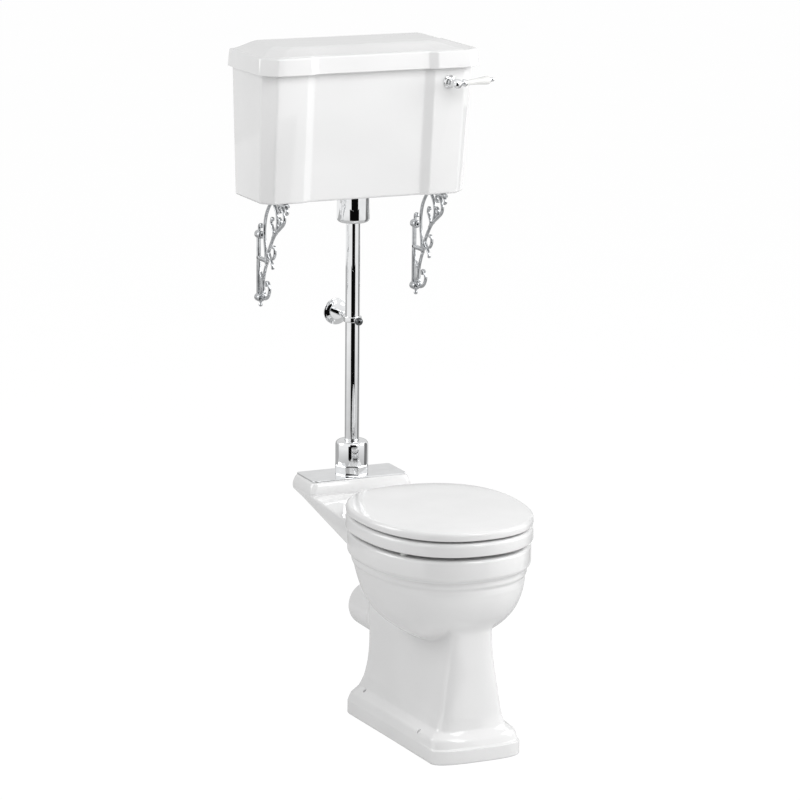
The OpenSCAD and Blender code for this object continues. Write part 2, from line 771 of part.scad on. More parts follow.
// Inlet valve and float
riser_up = 195;
riser_r = 8.5;
riser_top = cistern_z + riser_up;
pivot_out = 22;
pivot_up = 14;
pivot_x = -valve_x + pivot_out;
pivot_z = riser_top + pivot_up;
ear_gap = 9;
ear_t = 3;
pin_r = 2;
tail_free = 19.5;
shank_r = tail_r + 1.5;
valve_nut_h = 10.7;
valve_flange_t = 4;
valve_flange_r = shank_r + 5;
shank_z = cistern_z - valve_nut_h - 1;
valve_way_r = 5;
valve_head_r = 15;
valve_head_h = 22;
ear_end = 7;
arm_room_l = 30;
arm_room_h = 40;
module float_valve() {
    color(plastic) difference() {
        union() {
            translate([-valve_x, valve_y, shank_z - tail_free]) cylinder(r = tail_r, h = tail_free + 1);
            translate([-valve_x, valve_y, shank_z])
                cylinder(r = shank_r, h = siphon_floor + washer_t + 1 - shank_z);
            translate([-valve_x, valve_y, siphon_floor + washer_t])
                cylinder(r = valve_flange_r, h = valve_flange_t);
            translate([-valve_x, valve_y, siphon_floor + washer_t])
                cylinder(r = riser_r, h = riser_top - siphon_floor);
            translate([-valve_x, valve_y, riser_top]) cylinder(r = valve_head_r, h = valve_head_h);
            for (s = [-1, 1])
                translate([-valve_x, valve_y + s * (ear_gap + ear_t) / 2 - ear_t / 2, pivot_z - ear_end])
                    cube([pivot_x + valve_x + ear_end, ear_t, 2 * ear_end]);
        }
        translate([-valve_x, valve_y, shank_z - tail_free - 1])
            cylinder(r = valve_way_r, h = riser_top - shank_z);
        translate([-valve_x + riser_r, valve_y - ear_gap / 2, pivot_z - arm_room_h / 2])
            cube([arm_room_l, ear_gap, arm_room_h]);
        along_y(valve_y - 20, valve_y + 20, pin_r + 0.05, pivot_x, pivot_z);
    }
}

module float_valve_washer() {
    color(rubber) translate([-valve_x, valve_y, siphon_floor])
        tube(valve_flange_r, shank_r + free_gap, washer_t);
}

module float_valve_nut() {
    color(plastic) translate([-valve_x, valve_y, cistern_z - valve_nut_h - free_gap]) difference() {
        cylinder(r = valve_flange_r + 1, h = valve_nut_h, $fn = 6);
        translate([0, 0, -1]) cylinder(r = shank_r + thread_gap, h = valve_nut_h + 2);
    }
}

module float_valve_pin() {
    color(bright) along_y(valve_y - ear_gap / 2 - ear_t - 1, valve_y + ear_gap / 2 + ear_t + 1,
        pin_r, pivot_x, pivot_z);
}

arm_drop = 30;
module arm_axis() {
    translate([pivot_x, valve_y, pivot_z]) rotate([0, 90 + arm_drop, 0]) children();
}

module float_arm() {
    color(brass_colour) difference() {
        union() {
            along_y(valve_y - ear_gap / 2 + 0.5, valve_y + ear_gap / 2 - 0.5, 5, pivot_x, pivot_z);
            arm_axis() cylinder(r = 2.5, h = float_arm_len - float_r + 4);
        }
        along_y(valve_y - 20, valve_y + 20, pin_r + running_gap, pivot_x, pivot_z);
    }
}

module float_ball() {
    color(plastic) arm_axis() difference() {
        translate([0, 0, float_arm_len]) sphere(r = float_r);
        cylinder(r = 2.5 + free_gap, h = float_arm_len - float_r + 4 + free_gap);
    }
}

// Scroll bracket: straps drawn in the plane of the bracket, from the wall out and down from the top
function curve(p, steps = 3) = [
    for (i = [0 : len(p) - 2]) for (k = [0 : steps - (i == len(p) - 2 ? 0 : 1)])
        let (t = k / steps, a = p[max(i - 1, 0)], b = p[i], c = p[i + 1], d = p[min(i + 2, len(p) - 1)])
        0.5 * (2 * b + (c - a) * t + (2 * a - 5 * b + 4 * c - d) * t * t
            + (3 * b - a - 3 * c + d) * t * t * t)];

function side(q, w) = [
    for (i = [0 : len(q) - 1])
        let (v = q[min(i + 1, len(q) - 1)] - q[max(i - 1, 0)], l = norm(v))
        q[i] + w / 2 * [-v[1], v[0]] / l];

module strap(p, w = strap_w) {
    q = curve(p);
    a = side(q, w);
    b = side(q, -w);
    polygon(concat(a, [for (i = [len(b) - 1 : -1 : 0]) b[i]]));
    for (e = [q[0], q[len(q) - 1]]) translate(e) circle(r = w / 2 * 1.3, $fn = 16);
}

bar_w = 9;
bar_top = 92;
boss_up = 90;
boss_low = bracket_h - 4;
boss_r = 9;
shelf_l = 168;
shelf_t = 7;
scroll_in = 1;
module bracket_scrolls() {
    strap([[8, -84], [10, -70], [19, -66], [22, -74]], strap_w - 1);
    strap([[50, -150], [44, -117], [38, -82], [46, -45], [66, -18], [85, -8], [100, -16], [111, -33],
        [112, -54], [102, -76]]);
    strap([[50, -152], [60, -125], [78, -98], [99, -76], [128, -58], [146, -46], [152, -32], [144, -16],
        [132, -6]]);
    strap([[132, -6], [120, -12], [124, -22], [132, -20]], strap_w - 1);
    strap([[150, -5], [164, -10], [168, -18], [160, -22]], strap_w - 1);
    strap([[84, -88], [92, -76], [86, -64], [78, -54], [82, -42], [90, -46]], strap_w - 1);
    strap([[113, -40], [124, -36], [132, -44], [126, -54], [118, -50]], strap_w - 1);
    strap([[62, -122], [76, -134], [90, -130], [98, -118], [94, -104], [86, -108]], strap_w - 1);
    strap([[58, -136], [74, -138], [84, -146], [86, -156]], strap_w - 1);
    strap([[6, -140], [14, -170], [26, -188], [26, -210], [18, -228]], strap_w - 1);
    strap([[50, -150], [40, -168], [32, -190], [34, -212], [40, -224], [26, -230]], strap_w - 1);
    strap([[24, -230], [44, -229], [60, -220], [68, -204], [60, -190], [50, -190], [52, -200]],
        strap_w - 1);
}

// Plane figures drawn out from the wall and down from the shelf, stood up beside the centre line
module stand_up(x, t) {
    translate([x + t / 2, wall_y, cistern_z - free_gap]) rotate([90, 0, -90]) linear_extrude(t) children();
}

module bracket(x) {
    color(bright) difference() {
        union() {
            stand_up(x, bracket_t - scroll_in) offset(delta = eps) bracket_scrolls();
            stand_up(x, bracket_t) translate([0, -bracket_h]) square([bar_w, bracket_h - bar_top + 4]);
            stand_up(x, bracket_t + 4) translate([0, -shelf_t]) square([shelf_l, shelf_t]);
            stand_up(x, bracket_t) translate([0, -147]) square([50, 9]);
            for (h = [boss_up, boss_low])
                along_y(wall_y - 22, wall_y, boss_r, x, cistern_z - free_gap - h);
            translate([x, wall_y - 16, cistern_z - free_gap - boss_low - 15]) sphere(r = 4.5);
            translate([x, wall_y - 16, cistern_z - free_gap - boss_low - 14]) cylinder(r = 2.5, h = 10);
        }
        for (h = [boss_up, boss_low])
            along_y(wall_y - 60, wall_y + 5, bracket_hole_r, x, cistern_z - free_gap - h);
    }
}

module bracket_left() { bracket(-bracket_x); }
module bracket_right() { bracket(bracket_x); }

// Seat
ring_open_front = ring_open_half + 50;
ring_open_rear = ring_open_half + 8;
module seat_ring() {
    round_in = 3;
    color(china) difference() {
        loft([
            egg(seat_half_w - round_in, seat_front - round_in, seat_rear - round_in, seat_y, ring_z),
            egg(seat_half_w, seat_front, seat_rear, seat_y, ring_z + 5),
            egg(seat_half_w, seat_front, seat_rear, seat_y, ring_z + ring_t - 9),
            egg(seat_half_w - 3, seat_front - 3, seat_rear - 3, seat_y, ring_z + ring_t - 3),
            egg(seat_half_w - 9, seat_front - 9, seat_rear - 9, seat_y, ring_z + ring_t)]);
        loft([
            egg(ring_open_half, ring_open_front, ring_open_rear, seat_y, ring_z - 1),
            egg(ring_open_half, ring_open_front, ring_open_rear, seat_y, ring_z + ring_t + 1)]);
    }
}

module seat_cover() {
    color(china) loft([
        egg(seat_half_w - 2, seat_front - 2, seat_rear - 2, seat_y, cover_z),
        egg(seat_half_w, seat_front, seat_rear, seat_y, cover_z + 3),
        egg(seat_half_w, seat_front, seat_rear, seat_y, cover_z + cover_t * 0.5),
        egg(seat_half_w - 4, seat_front - 4, seat_rear - 4, seat_y, cover_z + cover_t * 0.8),
        egg(seat_half_w - 14, seat_front - 14, seat_rear - 14, seat_y, cover_z + cover_t)]);
}

ring_buffer_at = [[-140, -149], [140, -149], [-148, 90], [148, 90]];
cover_buffer_at = [[-137, -146], [137, -146]];
buffer_r = 8;
module ring_buffers() {
    color(plastic) for (p = ring_buffer_at)
        translate([p[0], p[1], rim_z + free_gap]) cylinder(r = buffer_r, h = ring_buffer_h - free_gap);
}

module cover_buffers() {
    color(plastic) for (p = cover_buffer_at)
        translate([p[0], p[1], cover_z - cover_buffer_h + free_gap])
            cylinder(r = buffer_r, h = cover_buffer_h - free_gap);
}

// Seat hinge
knuckle_w = 12;
knuckle_r = 8;
knuckle_gap = 1;
post_x = hinge_spacing / 2;
ring_knuckle_x = post_x - knuckle_w - knuckle_gap;
cover_knuckle_x = ring_knuckle_x - knuckle_w - knuckle_gap;
module hinge_rod() {
    color(bright) along_x(-post_x - 10, post_x + 10, hinge_rod_r, hinge_y, hinge_z);
}

module hinge_posts() {
    color(bright) for (s = [-1, 1]) difference() {
        union() {
            translate([s * post_x, hinge_y, rim_z]) cylinder(r = 13, h = 4);
            translate([s * post_x, hinge_y, rim_z]) cylinder(r = 6, h = hinge_z - rim_z);
            along_x(s * post_x - knuckle_w / 2, s * post_x + knuckle_w / 2, knuckle_r, hinge_y, hinge_z);
        }
        along_x(-post_x - 20, post_x + 20, hinge_rod_r + 0.05, hinge_y, hinge_z);
        translate([s * post_x, hinge_y, rim_z - 1]) cylinder(r = 3.3, h = 13);
    }
}

leaf_t = 3;
leaf_long = 46;
web_t = 4;
module ring_hinge_plates() {
    color(bright) for (s = [-1, 1]) translate([s * ring_knuckle_x - knuckle_w / 2, 0, 0]) difference() {
        union() {
            translate([0, hinge_y - leaf_long, ring_z - leaf_t])
                cube([knuckle_w, leaf_long - knuckle_r + web_t, leaf_t]);
            translate([0, hinge_y - knuckle_r, ring_z - leaf_t])
                cube([knuckle_w, web_t, hinge_z - ring_z + leaf_t]);
            along_x(0, knuckle_w, knuckle_r, hinge_y, hinge_z);
        }
        along_x(-1, knuckle_w + 1, hinge_rod_r + running_gap, hinge_y, hinge_z);
    }
}

module cover_hinge_plates() {
    color(bright) for (s = [-1, 1]) translate([s * cover_knuckle_x - knuckle_w / 2, 0, 0]) difference() {
        union() {
            translate([0, hinge_y - leaf_long, cover_z - leaf_t])
                cube([knuckle_w, leaf_long - knuckle_r + web_t, leaf_t]);
            translate([0, hinge_y - knuckle_r, hinge_z]) cube([knuckle_w, web_t, cover_z - hinge_z]);
            along_x(0, knuckle_w, knuckle_r, hinge_y, hinge_z);
        }
        along_x(-1, knuckle_w + 1, hinge_rod_r + running_gap, hinge_y, hinge_z);
    }
}

bolt_r = 3;
bolt_washer_t = 4;
bolt_len = 52;
module hinge_bolts() {
    color(bright) for (s = [-1, 1])
        translate([s * post_x, hinge_y, rim_z + 11 - bolt_len]) cylinder(r = bolt_r, h = bolt_len);
}

module hinge_washers() {
    color(rubber) for (s = [-1, 1]) translate([s * post_x, hinge_y, deck_under_z - bolt_washer_t])
        tube(11, bolt_r + free_gap, bolt_washer_t);
}

wing_nut_h = 12.5;
wing_nut_r = 9;
wing_half_w = 17;
wing_t = 4;
module hinge_wing_nuts() {
    color(plastic) for (s = [-1, 1])
        translate([s * post_x, hinge_y, deck_under_z - bolt_washer_t - wing_nut_h]) difference() {
            union() {
                cylinder(r = wing_nut_r, h = wing_nut_h);
                translate([-wing_half_w, -wing_t / 2, 0]) cube([2 * wing_half_w, wing_t, wing_nut_h - 4]);
            }
            translate([0, 0, -1]) cylinder(r = bolt_r + thread_gap, h = wing_nut_h + 2);
        }
}

pan();
inlet_seal();
cover_plate();
base_nut();
bell_cover();
flush_pipe();
cone_seal();
outlet_cup();
siphon_backnut();
siphon_washer();
siphon_body();
lift_rod();
plunger_disc();
plunger_flap();
lever_rose();
lever_locknut();
lever_spindle();
lever_hub();
lever_ferrule();
lever_grip();
lever_tip();
lever_inner_arm();
cistern_body();
cistern_lid();
float_valve();
float_valve_nut();
float_valve_washer();
float_valve_pin();
float_arm();
float_ball();
bracket_left();
bracket_right();
clip_flange();
clip_arm();
clip_ring();
clip_finial();
seat_ring();
seat_cover();
ring_buffers();
cover_buffers();
hinge_rod();
hinge_posts();
ring_hinge_plates();
cover_hinge_plates();
hinge_bolts();
hinge_washers();
hinge_wing_nuts();
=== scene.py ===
"""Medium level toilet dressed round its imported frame.

A china pan with seat and cover stands on the floor. A cistern hangs on two cast scroll
brackets above it, a chromed flush pipe joins them, and a side lever works the flush.
Sizes in the classes are millimetres; meshes are written in metres.
"""

import logging
import math
from dataclasses import dataclass
from enum import Enum
from typing import Sequence

import bpy
import numpy as np
from mathutils import Matrix


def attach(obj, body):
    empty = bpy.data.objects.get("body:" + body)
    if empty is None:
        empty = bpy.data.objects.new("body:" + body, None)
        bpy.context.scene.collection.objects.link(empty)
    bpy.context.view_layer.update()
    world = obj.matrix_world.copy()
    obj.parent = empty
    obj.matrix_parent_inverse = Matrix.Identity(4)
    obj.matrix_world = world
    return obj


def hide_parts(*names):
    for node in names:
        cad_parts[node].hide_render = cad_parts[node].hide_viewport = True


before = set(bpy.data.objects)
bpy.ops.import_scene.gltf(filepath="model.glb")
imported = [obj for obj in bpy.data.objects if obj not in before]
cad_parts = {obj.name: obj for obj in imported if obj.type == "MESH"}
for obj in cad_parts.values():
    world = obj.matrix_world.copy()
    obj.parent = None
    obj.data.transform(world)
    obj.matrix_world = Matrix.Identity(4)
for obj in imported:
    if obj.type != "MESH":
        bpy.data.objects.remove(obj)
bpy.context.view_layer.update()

LOG = logging.getLogger("toilet")
MM = 0.001
TURN_STEPS = 64
ARC_STEPS = 6
# a radius on the axis itself would pinch a turned shape's end ring to one point
AXIS = 0.01

Vec = Sequence[float]
Line = Sequence[Sequence[float]]
Cuts = float | Sequence[float]
Tree = bpy.types.NodeTree
Mesh = bpy.types.Mesh


class Slot(Enum):
    """Material slots of the record that a piece takes its finish from."""

    CHINA = "china"
    HANDLE = "handle_china"
    CHROME = "chrome"
    SEAT = "seat"
    RUBBER = "rubber"
    BUFFER = "clear_buffer"
    WORKS = "works_plastic"
    BRASS = "brass"


class Look(Enum):
    """Finishes of pieces that look unlike the rest of their slot; one of them has a painted dark reflection in its
    colour.
    """

    CAST = "cast_and_plated"
    PAINTED_DARK = "ball_painted_dark_reflection"


class Body(Enum):
    """Bodies of the frame that the new pieces ride on."""

    FIXED = "fixed_assembly"
    RING = "seat_ring_body"
    COVER = "seat_cover_body"
    LEVER = "flush_lever"
    LID = "lid"


# ---------------------------------------------------------------- shapes as arrays


@dataclass
class Shell:
    """A surface: corner points in millimetres, four-sided faces and three-sided faces."""

    points: np.ndarray
    quads: np.ndarray
    tris: np.ndarray

    def volume(self) -> float:
        """Signed volume: the sum of the tetrahedra between each face and the origin.

        Returns:
            Cubic millimetres, positive where the faces point outwards.
        """
        p, q = self.points, self.quads
        halves = np.concatenate([self.tris, q[:, [0, 1, 2]], q[:, [0, 2, 3]]])
        a, b, c = p[halves[:, 0]], p[halves[:, 1]], p[halves[:, 2]]
        return float(np.einsum("ij,ij->i", a, np.cross(b, c)).sum() / 6)

    def outward(self) -> "Shell":
        """The same closed surface with its faces turned outwards."""
        turned_in = self.volume() < 0
        return Shell(self.points, self.quads[:, ::-1], self.tris[:, ::-1]) if turned_in else self

    def moved(self, matrix: np.ndarray, offset: Vec) -> "Shell":
        """The surface turned by a 3 by 3 matrix and then shifted.

        Args:
            matrix: rows of the turn.
            offset: shift in millimetres.

        Returns:
            A new Shell.
        """
        points = self.points @ np.asarray(matrix, float).T + np.asarray(offset, float)
        return Shell(points, self.quads, self.tris)


def joined(shells: Sequence[Shell]) -> Shell:
    """Several closed surfaces as one, each turned outwards first.

    Args:
        shells: the surfaces.

    Returns:
        One Shell that holds them all.
    """
    shells = [s.outward() for s in shells]
    starts = np.cumsum([0] + [len(s.points) for s in shells[:-1]])
    return Shell(
        np.concatenate([s.points for s in shells]),
        np.concatenate([s.quads + n for s, n in zip(shells, starts)]),
        np.concatenate([s.tris + n for s, n in zip(shells, starts)]),
    )


def skin(rings: np.ndarray, loop: bool = False) -> Shell:
    """Closed surface through a stack of closed rings.

    Quads join each ring to the next. Either the last ring joins the first, or each end is
    closed by a fan of triangles to the middle of its ring.

    Args:
        rings: array (rings, points in a ring, 3).
        loop: whether the stack closes on itself.

    Returns:
        The Shell.
    """
    rows, cols, _ = rings.shape
    points = rings.reshape(-1, 3)
    i = np.arange(rows if loop else rows - 1)[:, None]
    j = np.arange(cols)[None, :]
    here, above, after = i * cols, (i + 1) % rows * cols, (j + 1) % cols
    corners = np.broadcast_arrays(here + j, here + after, above + after, above + j)
    quads = np.stack(corners, -1).reshape(-1, 4)
    if loop:
        return Shell(points, quads, np.empty((0, 3), int))
    ends = np.stack([rings[0].mean(0), rings[-1].mean(0)])
    j, after = j[0], after[0]
    pole, last = np.full(cols, rows * cols), (rows - 1) * cols
    low = np.stack([pole, after, j], -1)
    high = np.stack([pole + 1, last + j, last + after], -1)
    return Shell(np.concatenate([points, ends]), quads, np.concatenate([low, high]))


def rounded(corners: Line, cuts: Cuts, closed: bool = True, steps: int = ARC_STEPS) -> np.ndarray:
    """Polyline in any number of coordinates whose corners are replaced by circular arcs.

    An arc starts and ends a cut's length from its corner. Its points are the weighted means
    of its start a, the corner p and its end b, with weights (1-t)^2, 2wt(1-t) and t^2, where
    w is the sine of half the corner's angle, so that a straight corner stays straight.

    Args:
        corners: the sharp corners.
        cuts: the length cut off each side, one or one for each corner.
        closed: whether the last corner joins the first.
        steps: points on each arc.

    Returns:
        Array of points; an open line keeps its two ends as they are.
    """
    p = np.asarray(corners, float)
    back, ahead = np.roll(p, 1, 0) - p, np.roll(p, -1, 0) - p
    back_len, ahead_len = np.linalg.norm(back, axis=1), np.linalg.norm(ahead, axis=1)
    asked = np.broadcast_to(np.asarray(cuts, float), (len(p),))
    cut = np.minimum(asked, 0.48 * np.minimum(back_len, ahead_len))
    u, v = back / back_len[:, None], ahead / ahead_len[:, None]
    w = np.sqrt((1 - np.clip((u * v).sum(1), -1, 1)) / 2)[:, None, None]
    a, b = (p + u * cut[:, None])[:, None], (p + v * cut[:, None])[:, None]
    t = np.linspace(0, 1, steps)[None, :, None]
    f, g, h = (1 - t) ** 2, 2 * w * t * (1 - t), t**2
    arcs = (f * a + g * p[:, None] + h * b) / (f + g + h)
    if closed:
        return arcs.reshape(-1, p.shape[1])
    return np.concatenate([p[:1], arcs[1:-1].reshape(-1, p.shape[1]), p[-1:]])


def turned(profile: np.ndarray, loop: bool = False, steps: int = TURN_STEPS) -> Shell:
    """Surface swept by a profile of (radius, height) points about Z.

    Each point (r, h) goes to (r cos a, r sin a, h) for angles a round the circle.

    Args:
        profile: array (points, 2).
        loop: whether the profile closes on itself, as a tube's does.
        steps: points round the circle.

    Returns:
        The Shell, closed at both ends.
    """
    a = np.linspace(0, 2 * math.pi, steps, endpoint=False)
    r, h = profile[:, 0, None], profile[:, 1, None]
    return skin(np.stack(np.broadcast_arrays(r * np.cos(a), r * np.sin(a), h), -1), loop)


def lathe(corners: Line, cuts: Cuts = 0.6, steps: int = TURN_STEPS) -> Shell:
    """Solid of revolution with eased edges, from its outline beside the axis."""
    return turned(rounded(corners, cuts, closed=False), steps=steps)


def tube(corners: Line, cuts: Cuts = 0.5, steps: int = TURN_STEPS) -> Shell:
    """Hollow body of revolution with eased edges, from the closed outline of its wall."""
    return turned(rounded(corners, cuts), loop=True, steps=steps)


def axes_to(direction: Vec) -> np.ndarray:
    """Matrix that turns Z to a direction: X is level, and Y is the cross product of the two.

    Args:
        direction: where Z goes, of any length.

    Returns:
        Matrix with the new X, Y and Z as its columns.
    """
    z = np.asarray(direction, float)
    z = z / np.linalg.norm(z)
    x = np.cross([0.0, 0.0, 1.0], z)
    x = np.array([1.0, 0.0, 0.0]) if np.linalg.norm(x) < 1e-9 else x / np.linalg.norm(x)
    return np.stack([x, np.cross(z, x), z], 1)


def stacked(outlines: Sequence[np.ndarray], heights: Vec) -> Shell:
    """Closed surface through plane outlines, each at its height."""
    levels = [np.column_stack([o, np.full(len(o), z)]) for o, z in zip(outlines, heights)]
    return skin(np.stack(levels))


def smooth_path(knots: Line, steps: int = 8) -> np.ndarray:
    """Smooth curve through knots: cubics whose end slopes are half the chord of the neighbours.

    Args:
        knots: the points that it goes through.
        steps: points in each span.

    Returns:
        Array of points, with the last knot at its end.
    """
    p = np.asarray(knots, float)
    q = np.concatenate([2 * p[:1] - p[1:2], p, 2 * p[-1:] - p[-2:-1]])
    a, b, c, d = (q[k : len(q) - 3 + k, None] for k in range(4))
    t = np.linspace(0, 1, steps, endpoint=False)[None, :, None]
    square, cube = 2 * a - 5 * b + 4 * c - d, 3 * b - a - 3 * c + d
    spans = 0.5 * (2 * b + (c - a) * t + square * t**2 + cube * t**3)
    return np.concatenate([spans.reshape(-1, p.shape[1]), p[-1:]])


def blend(a: float | np.ndarray, b: float | np.ndarray, t: float | np.ndarray) -> float | np.ndarray:
    """Value that goes from a to b as t goes from 0 to 1."""
    return a + (b - a) * t


def ease(t: float | np.ndarray) -> float | np.ndarray:
    """Smooth step of t between 0 and 1, level at both ends: t squared times (3 - 2t)."""
    t = np.clip(t, 0, 1)
    return t * t * (3 - 2 * t)


def soft_max(a: np.ndarray, b: np.ndarray, width: float) -> np.ndarray:
    """Larger of two fields, raised by near squared times width / 4 where they meet."""
    near = np.clip(1 - np.abs(a - b) / width, 0, 1)
    return np.maximum(a, b) + near * near * width / 4


def reach(outline: np.ndarray, centre: Vec, angles: np.ndarray) -> np.ndarray:
    """Distance from a centre to an outline round it, in each direction.

    A direction d falls between two neighbouring corners p and q of the outline, seen from
    the centre. It meets the side between them at cross(p, q - p) / cross(d, q - p).

    Args:
        outline: array (points, 2) that goes once round the centre.
        centre: the point looked from.
        angles: directions in radians.

    Returns:
        One distance for each angle.
    """
    p = outline - np.asarray(centre, float)
    turn = np.arctan2(p[:, 1], p[:, 0]) % (2 * math.pi)
    order = np.argsort(turn)
    p, turn = p[order], turn[order]
    after = np.searchsorted(turn, angles % (2 * math.pi)) % len(p)
    start, side = p[after - 1], p[after] - p[after - 1]
    across = np.cos(angles) * side[:, 1] - np.sin(angles) * side[:, 0]
    return (start[:, 0] * side[:, 1] - start[:, 1] * side[:, 0]) / across


def reach_oval(half: float, deep: float, mid: float, centre_y: float, angles: np.ndarray) -> np.ndarray:
    """Distance to the far side of an oval, the larger root of its square equation.

    Args:
        half: half width of the oval.
        deep: its half depth.
        mid: where its middle lies along Y.
        centre_y: where the point looked from lies along Y.
        angles: directions in radians.

    Returns:
        One distance for each angle, or 0 where the oval is missed.
    """
    x, y = np.cos(angles) / half, np.sin(angles) / deep
    y0 = (centre_y - mid) / deep
    a, b, c = x * x + y * y, y * y0, y0 * y0 - 1
    root = b * b - a * c
    return np.where(root > 0, (-b + np.sqrt(np.maximum(root, 0))) / a, 0)


def powered(wave: np.ndarray, power: float | np.ndarray) -> np.ndarray:
    """A sine or cosine raised to 2 / power, with its sign kept."""
    return np.sign(wave) * np.abs(wave) ** (2 / power)


def egg(half: float, front: float, back: float, mid: float, count: int = 720) -> np.ndarray:
    """Rim outline: x is half times the powered cosine, y is front or back times the powered sine.

    Args:
        half: half width.
        front: length ahead of the middle.
        back: length behind it.
        mid: where the middle lies along Y.
        count: points in the outline.

    Returns:
        Array (count, 2).
    """
    t = np.linspace(0, 2 * math.pi, count, endpoint=False)
    x, y = powered(np.cos(t), RIM_POWER), powered(np.sin(t), RIM_POWER)
    return np.column_stack([half * x, mid + np.where(y > 0, back, front) * y])


def foot_outline(front_half: float, rear_half: float, front_y: float, bow: float, rear_y: float,
                 deep: float) -> np.ndarray:
    """Pedestal outline: a bowed front and a blunt back, each a powered half, with straight sides.

    Args:
        front_half: half width at the front.
        rear_half: half width at the back.
        front_y: where the sides end at the front.
        bow: how far the front bows out past them.
        rear_y: where the sides end at the back.
        deep: how far the back goes past them.

    Returns:
        Array (720, 2).
    """
    t = np.linspace(0, 2 * math.pi, 720, endpoint=False) + math.pi / 720
    c, s = np.cos(t), np.sin(t)
    x = np.where(s > 0, rear_half, front_half) * powered(c, np.where(s > 0, BACK_POWER, TOE_POWER))
    y = np.where(s > 0, rear_y + deep * powered(s, BACK_POWER), front_y + bow * powered(s, TOE_POWER))
    return np.column_stack([x, y])


def plate_outline(wide: float, deep: float, cut: float, mid: float, steps: int = ARC_STEPS) -> np.ndarray:
    """Rounded rectangle seen from above, centred on x = 0 and y = mid."""
    x, y = wide / 2, deep / 2
    return rounded([[x, mid - y], [x, mid + y], [-x, mid + y], [-x, mid - y]], cut, steps=steps)


def capsule(start: Vec, end: Vec, radius: float, steps: int = 48) -> Shell:
    """Round bar with half-ball ends: radius times cosine out, radius times sine along.

    Args:
        start: one end of its axis.
        end: the other end.
        radius: its radius.
        steps: points round it.

    Returns:
        The Shell.
    """
    axis = np.subtract(end, start)
    a = np.linspace(-math.pi / 2, math.pi / 2, 18)[1:-1]
    along = radius * np.sin(a) + np.where(a > 0, float(np.linalg.norm(axis)), 0)
    profile = np.column_stack([radius * np.cos(a), along])
    return turned(profile, steps=steps).moved(axes_to(axis), start)


def bar(start: Vec, end: Vec, radius: float, edge: float = 0.6, steps: int = 40) -> Shell:
    """Round bar with eased ends, turned about the line from start to end.

    Args:
        start: one end of its axis.
        end: the other end.
        radius: its radius.
        edge: length cut off each edge.
        steps: points round it.

    Returns:
        The Shell.
    """
    axis = np.subtract(end, start)
    long = float(np.linalg.norm(axis))
    solid = lathe([[AXIS, 0], [radius, 0], [radius, long], [AXIS, long]], edge, steps)
    return solid.moved(axes_to(axis), start)


def block(low: Vec, high: Vec, edge: float = 1.0) -> Shell:
    """Box with all its edges eased: rings of a rounded rectangle shrink along a quarter circle.

    Args:
        low: its lowest corner.
        high: its highest corner.
        edge: radius of its edges.

    Returns:
        The Shell.
    """
    (x0, y0, z0), (x1, y1, z1) = low, high
    turn = np.linspace(0, math.pi / 2, 5)
    inset, rise = edge * (1 - np.cos(turn)), edge * (1 - np.sin(turn))
    heights = np.concatenate([z0 + rise[::-1], z1 - rise])
    wide, deep, mid = x1 - x0, y1 - y0, (y0 + y1) / 2
    rings = [
        plate_outline(wide - 2 * i, deep - 2 * i, max(edge - i, 0.05), mid, 5)
        for i in np.concatenate([inset[::-1], inset])
    ]
    return stacked([r + [(x0 + x1) / 2, 0] for r in rings], heights)


# ---------------------------------------------------------------- pieces in the scene


def to_mesh(name: str, shape: Shell | Mesh) -> Mesh:
    """Blender mesh of a surface, in metres; a mesh stays as it is.

    Args:
        name: name of the mesh.
        shape: the surface, or a mesh already carved.

    Returns:
        The mesh.
    """
    if not isinstance(shape, Shell):
        return shape
    shape = shape.outward()
    mesh = bpy.data.meshes.new(name)
    mesh.from_pydata((shape.points * MM).tolist(), [], shape.quads.tolist() + shape.tris.tolist())
    mesh.validate()
    return mesh


def put(name: str, mesh: Mesh) -> bpy.types.Object:
    """Puts a mesh in the scene as an object of its own.

    Args:
        name: name of the object.
        mesh: its mesh.

    Returns:
        The object.
    """
    obj = bpy.data.objects.new(name, mesh)
    bpy.context.scene.collection.objects.link(obj)
    return obj


def carve(name: str, base: Shell, adds: Sequence[Shell | Mesh] = (), cuts: Sequence[Shell] = ()) -> Mesh:
    """Mesh of a solid with others joined to it and then others taken away.

    Args:
        name: name of the mesh.
        base: the solid to start from.
        adds: solids joined to it.
        cuts: solids taken away.

    Returns:
        The finished mesh.
    """
    work = put(name + "_work", to_mesh(name + "_work", base))
    tools = [work]
    for kind, shapes in (("UNION", adds), ("DIFFERENCE", cuts)):
        for k, shape in enumerate(shapes):
            label = f"{name}_{kind.lower()}_{k}"
            tools.append(put(label, to_mesh(label, shape)))
            step = work.modifiers.new(label, "BOOLEAN")
            step.operation, step.solver, step.object = kind, "MANIFOLD", tools[-1]
    bpy.context.view_layer.update()
    mesh = bpy.data.meshes.new_from_object(work.evaluated_get(bpy.context.evaluated_depsgraph_get()))
    mesh.name = name
    for tool in tools:
        data = tool.data
        bpy.data.objects.remove(tool)
        bpy.data.meshes.remove(data)
    return mesh


def piece(name: str, shape: Shell | Mesh, slot: Slot, body: Body, nodes: Sequence[str],
          crease: float = 35.0, look: Look | None = None) -> None:
    """Puts one finished piece in the scene.

    Args:
        name: name of the object.
        shape: its surface, or a mesh already carved.
        slot: the record's slot that it takes its finish from.
        body: the body that it moves with.
        nodes: the CAD nodes that it stands for.
        crease: angle in degrees past which an edge stays sharp.
        look: a finish of its own, where the slot's isn't right.
    """
    mesh = to_mesh(name, shape)
    mesh.shade_smooth()
    mesh.set_sharp_from_angle(angle=math.radians(crease))
    mesh.materials.clear()
    mesh.materials.append(finish_of(look or slot))
    obj = put(name, mesh)
    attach(obj, body.value)
    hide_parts(*nodes)
    LOG.info("%s: %d faces, rides on %s", name, len(mesh.polygons), body.value)


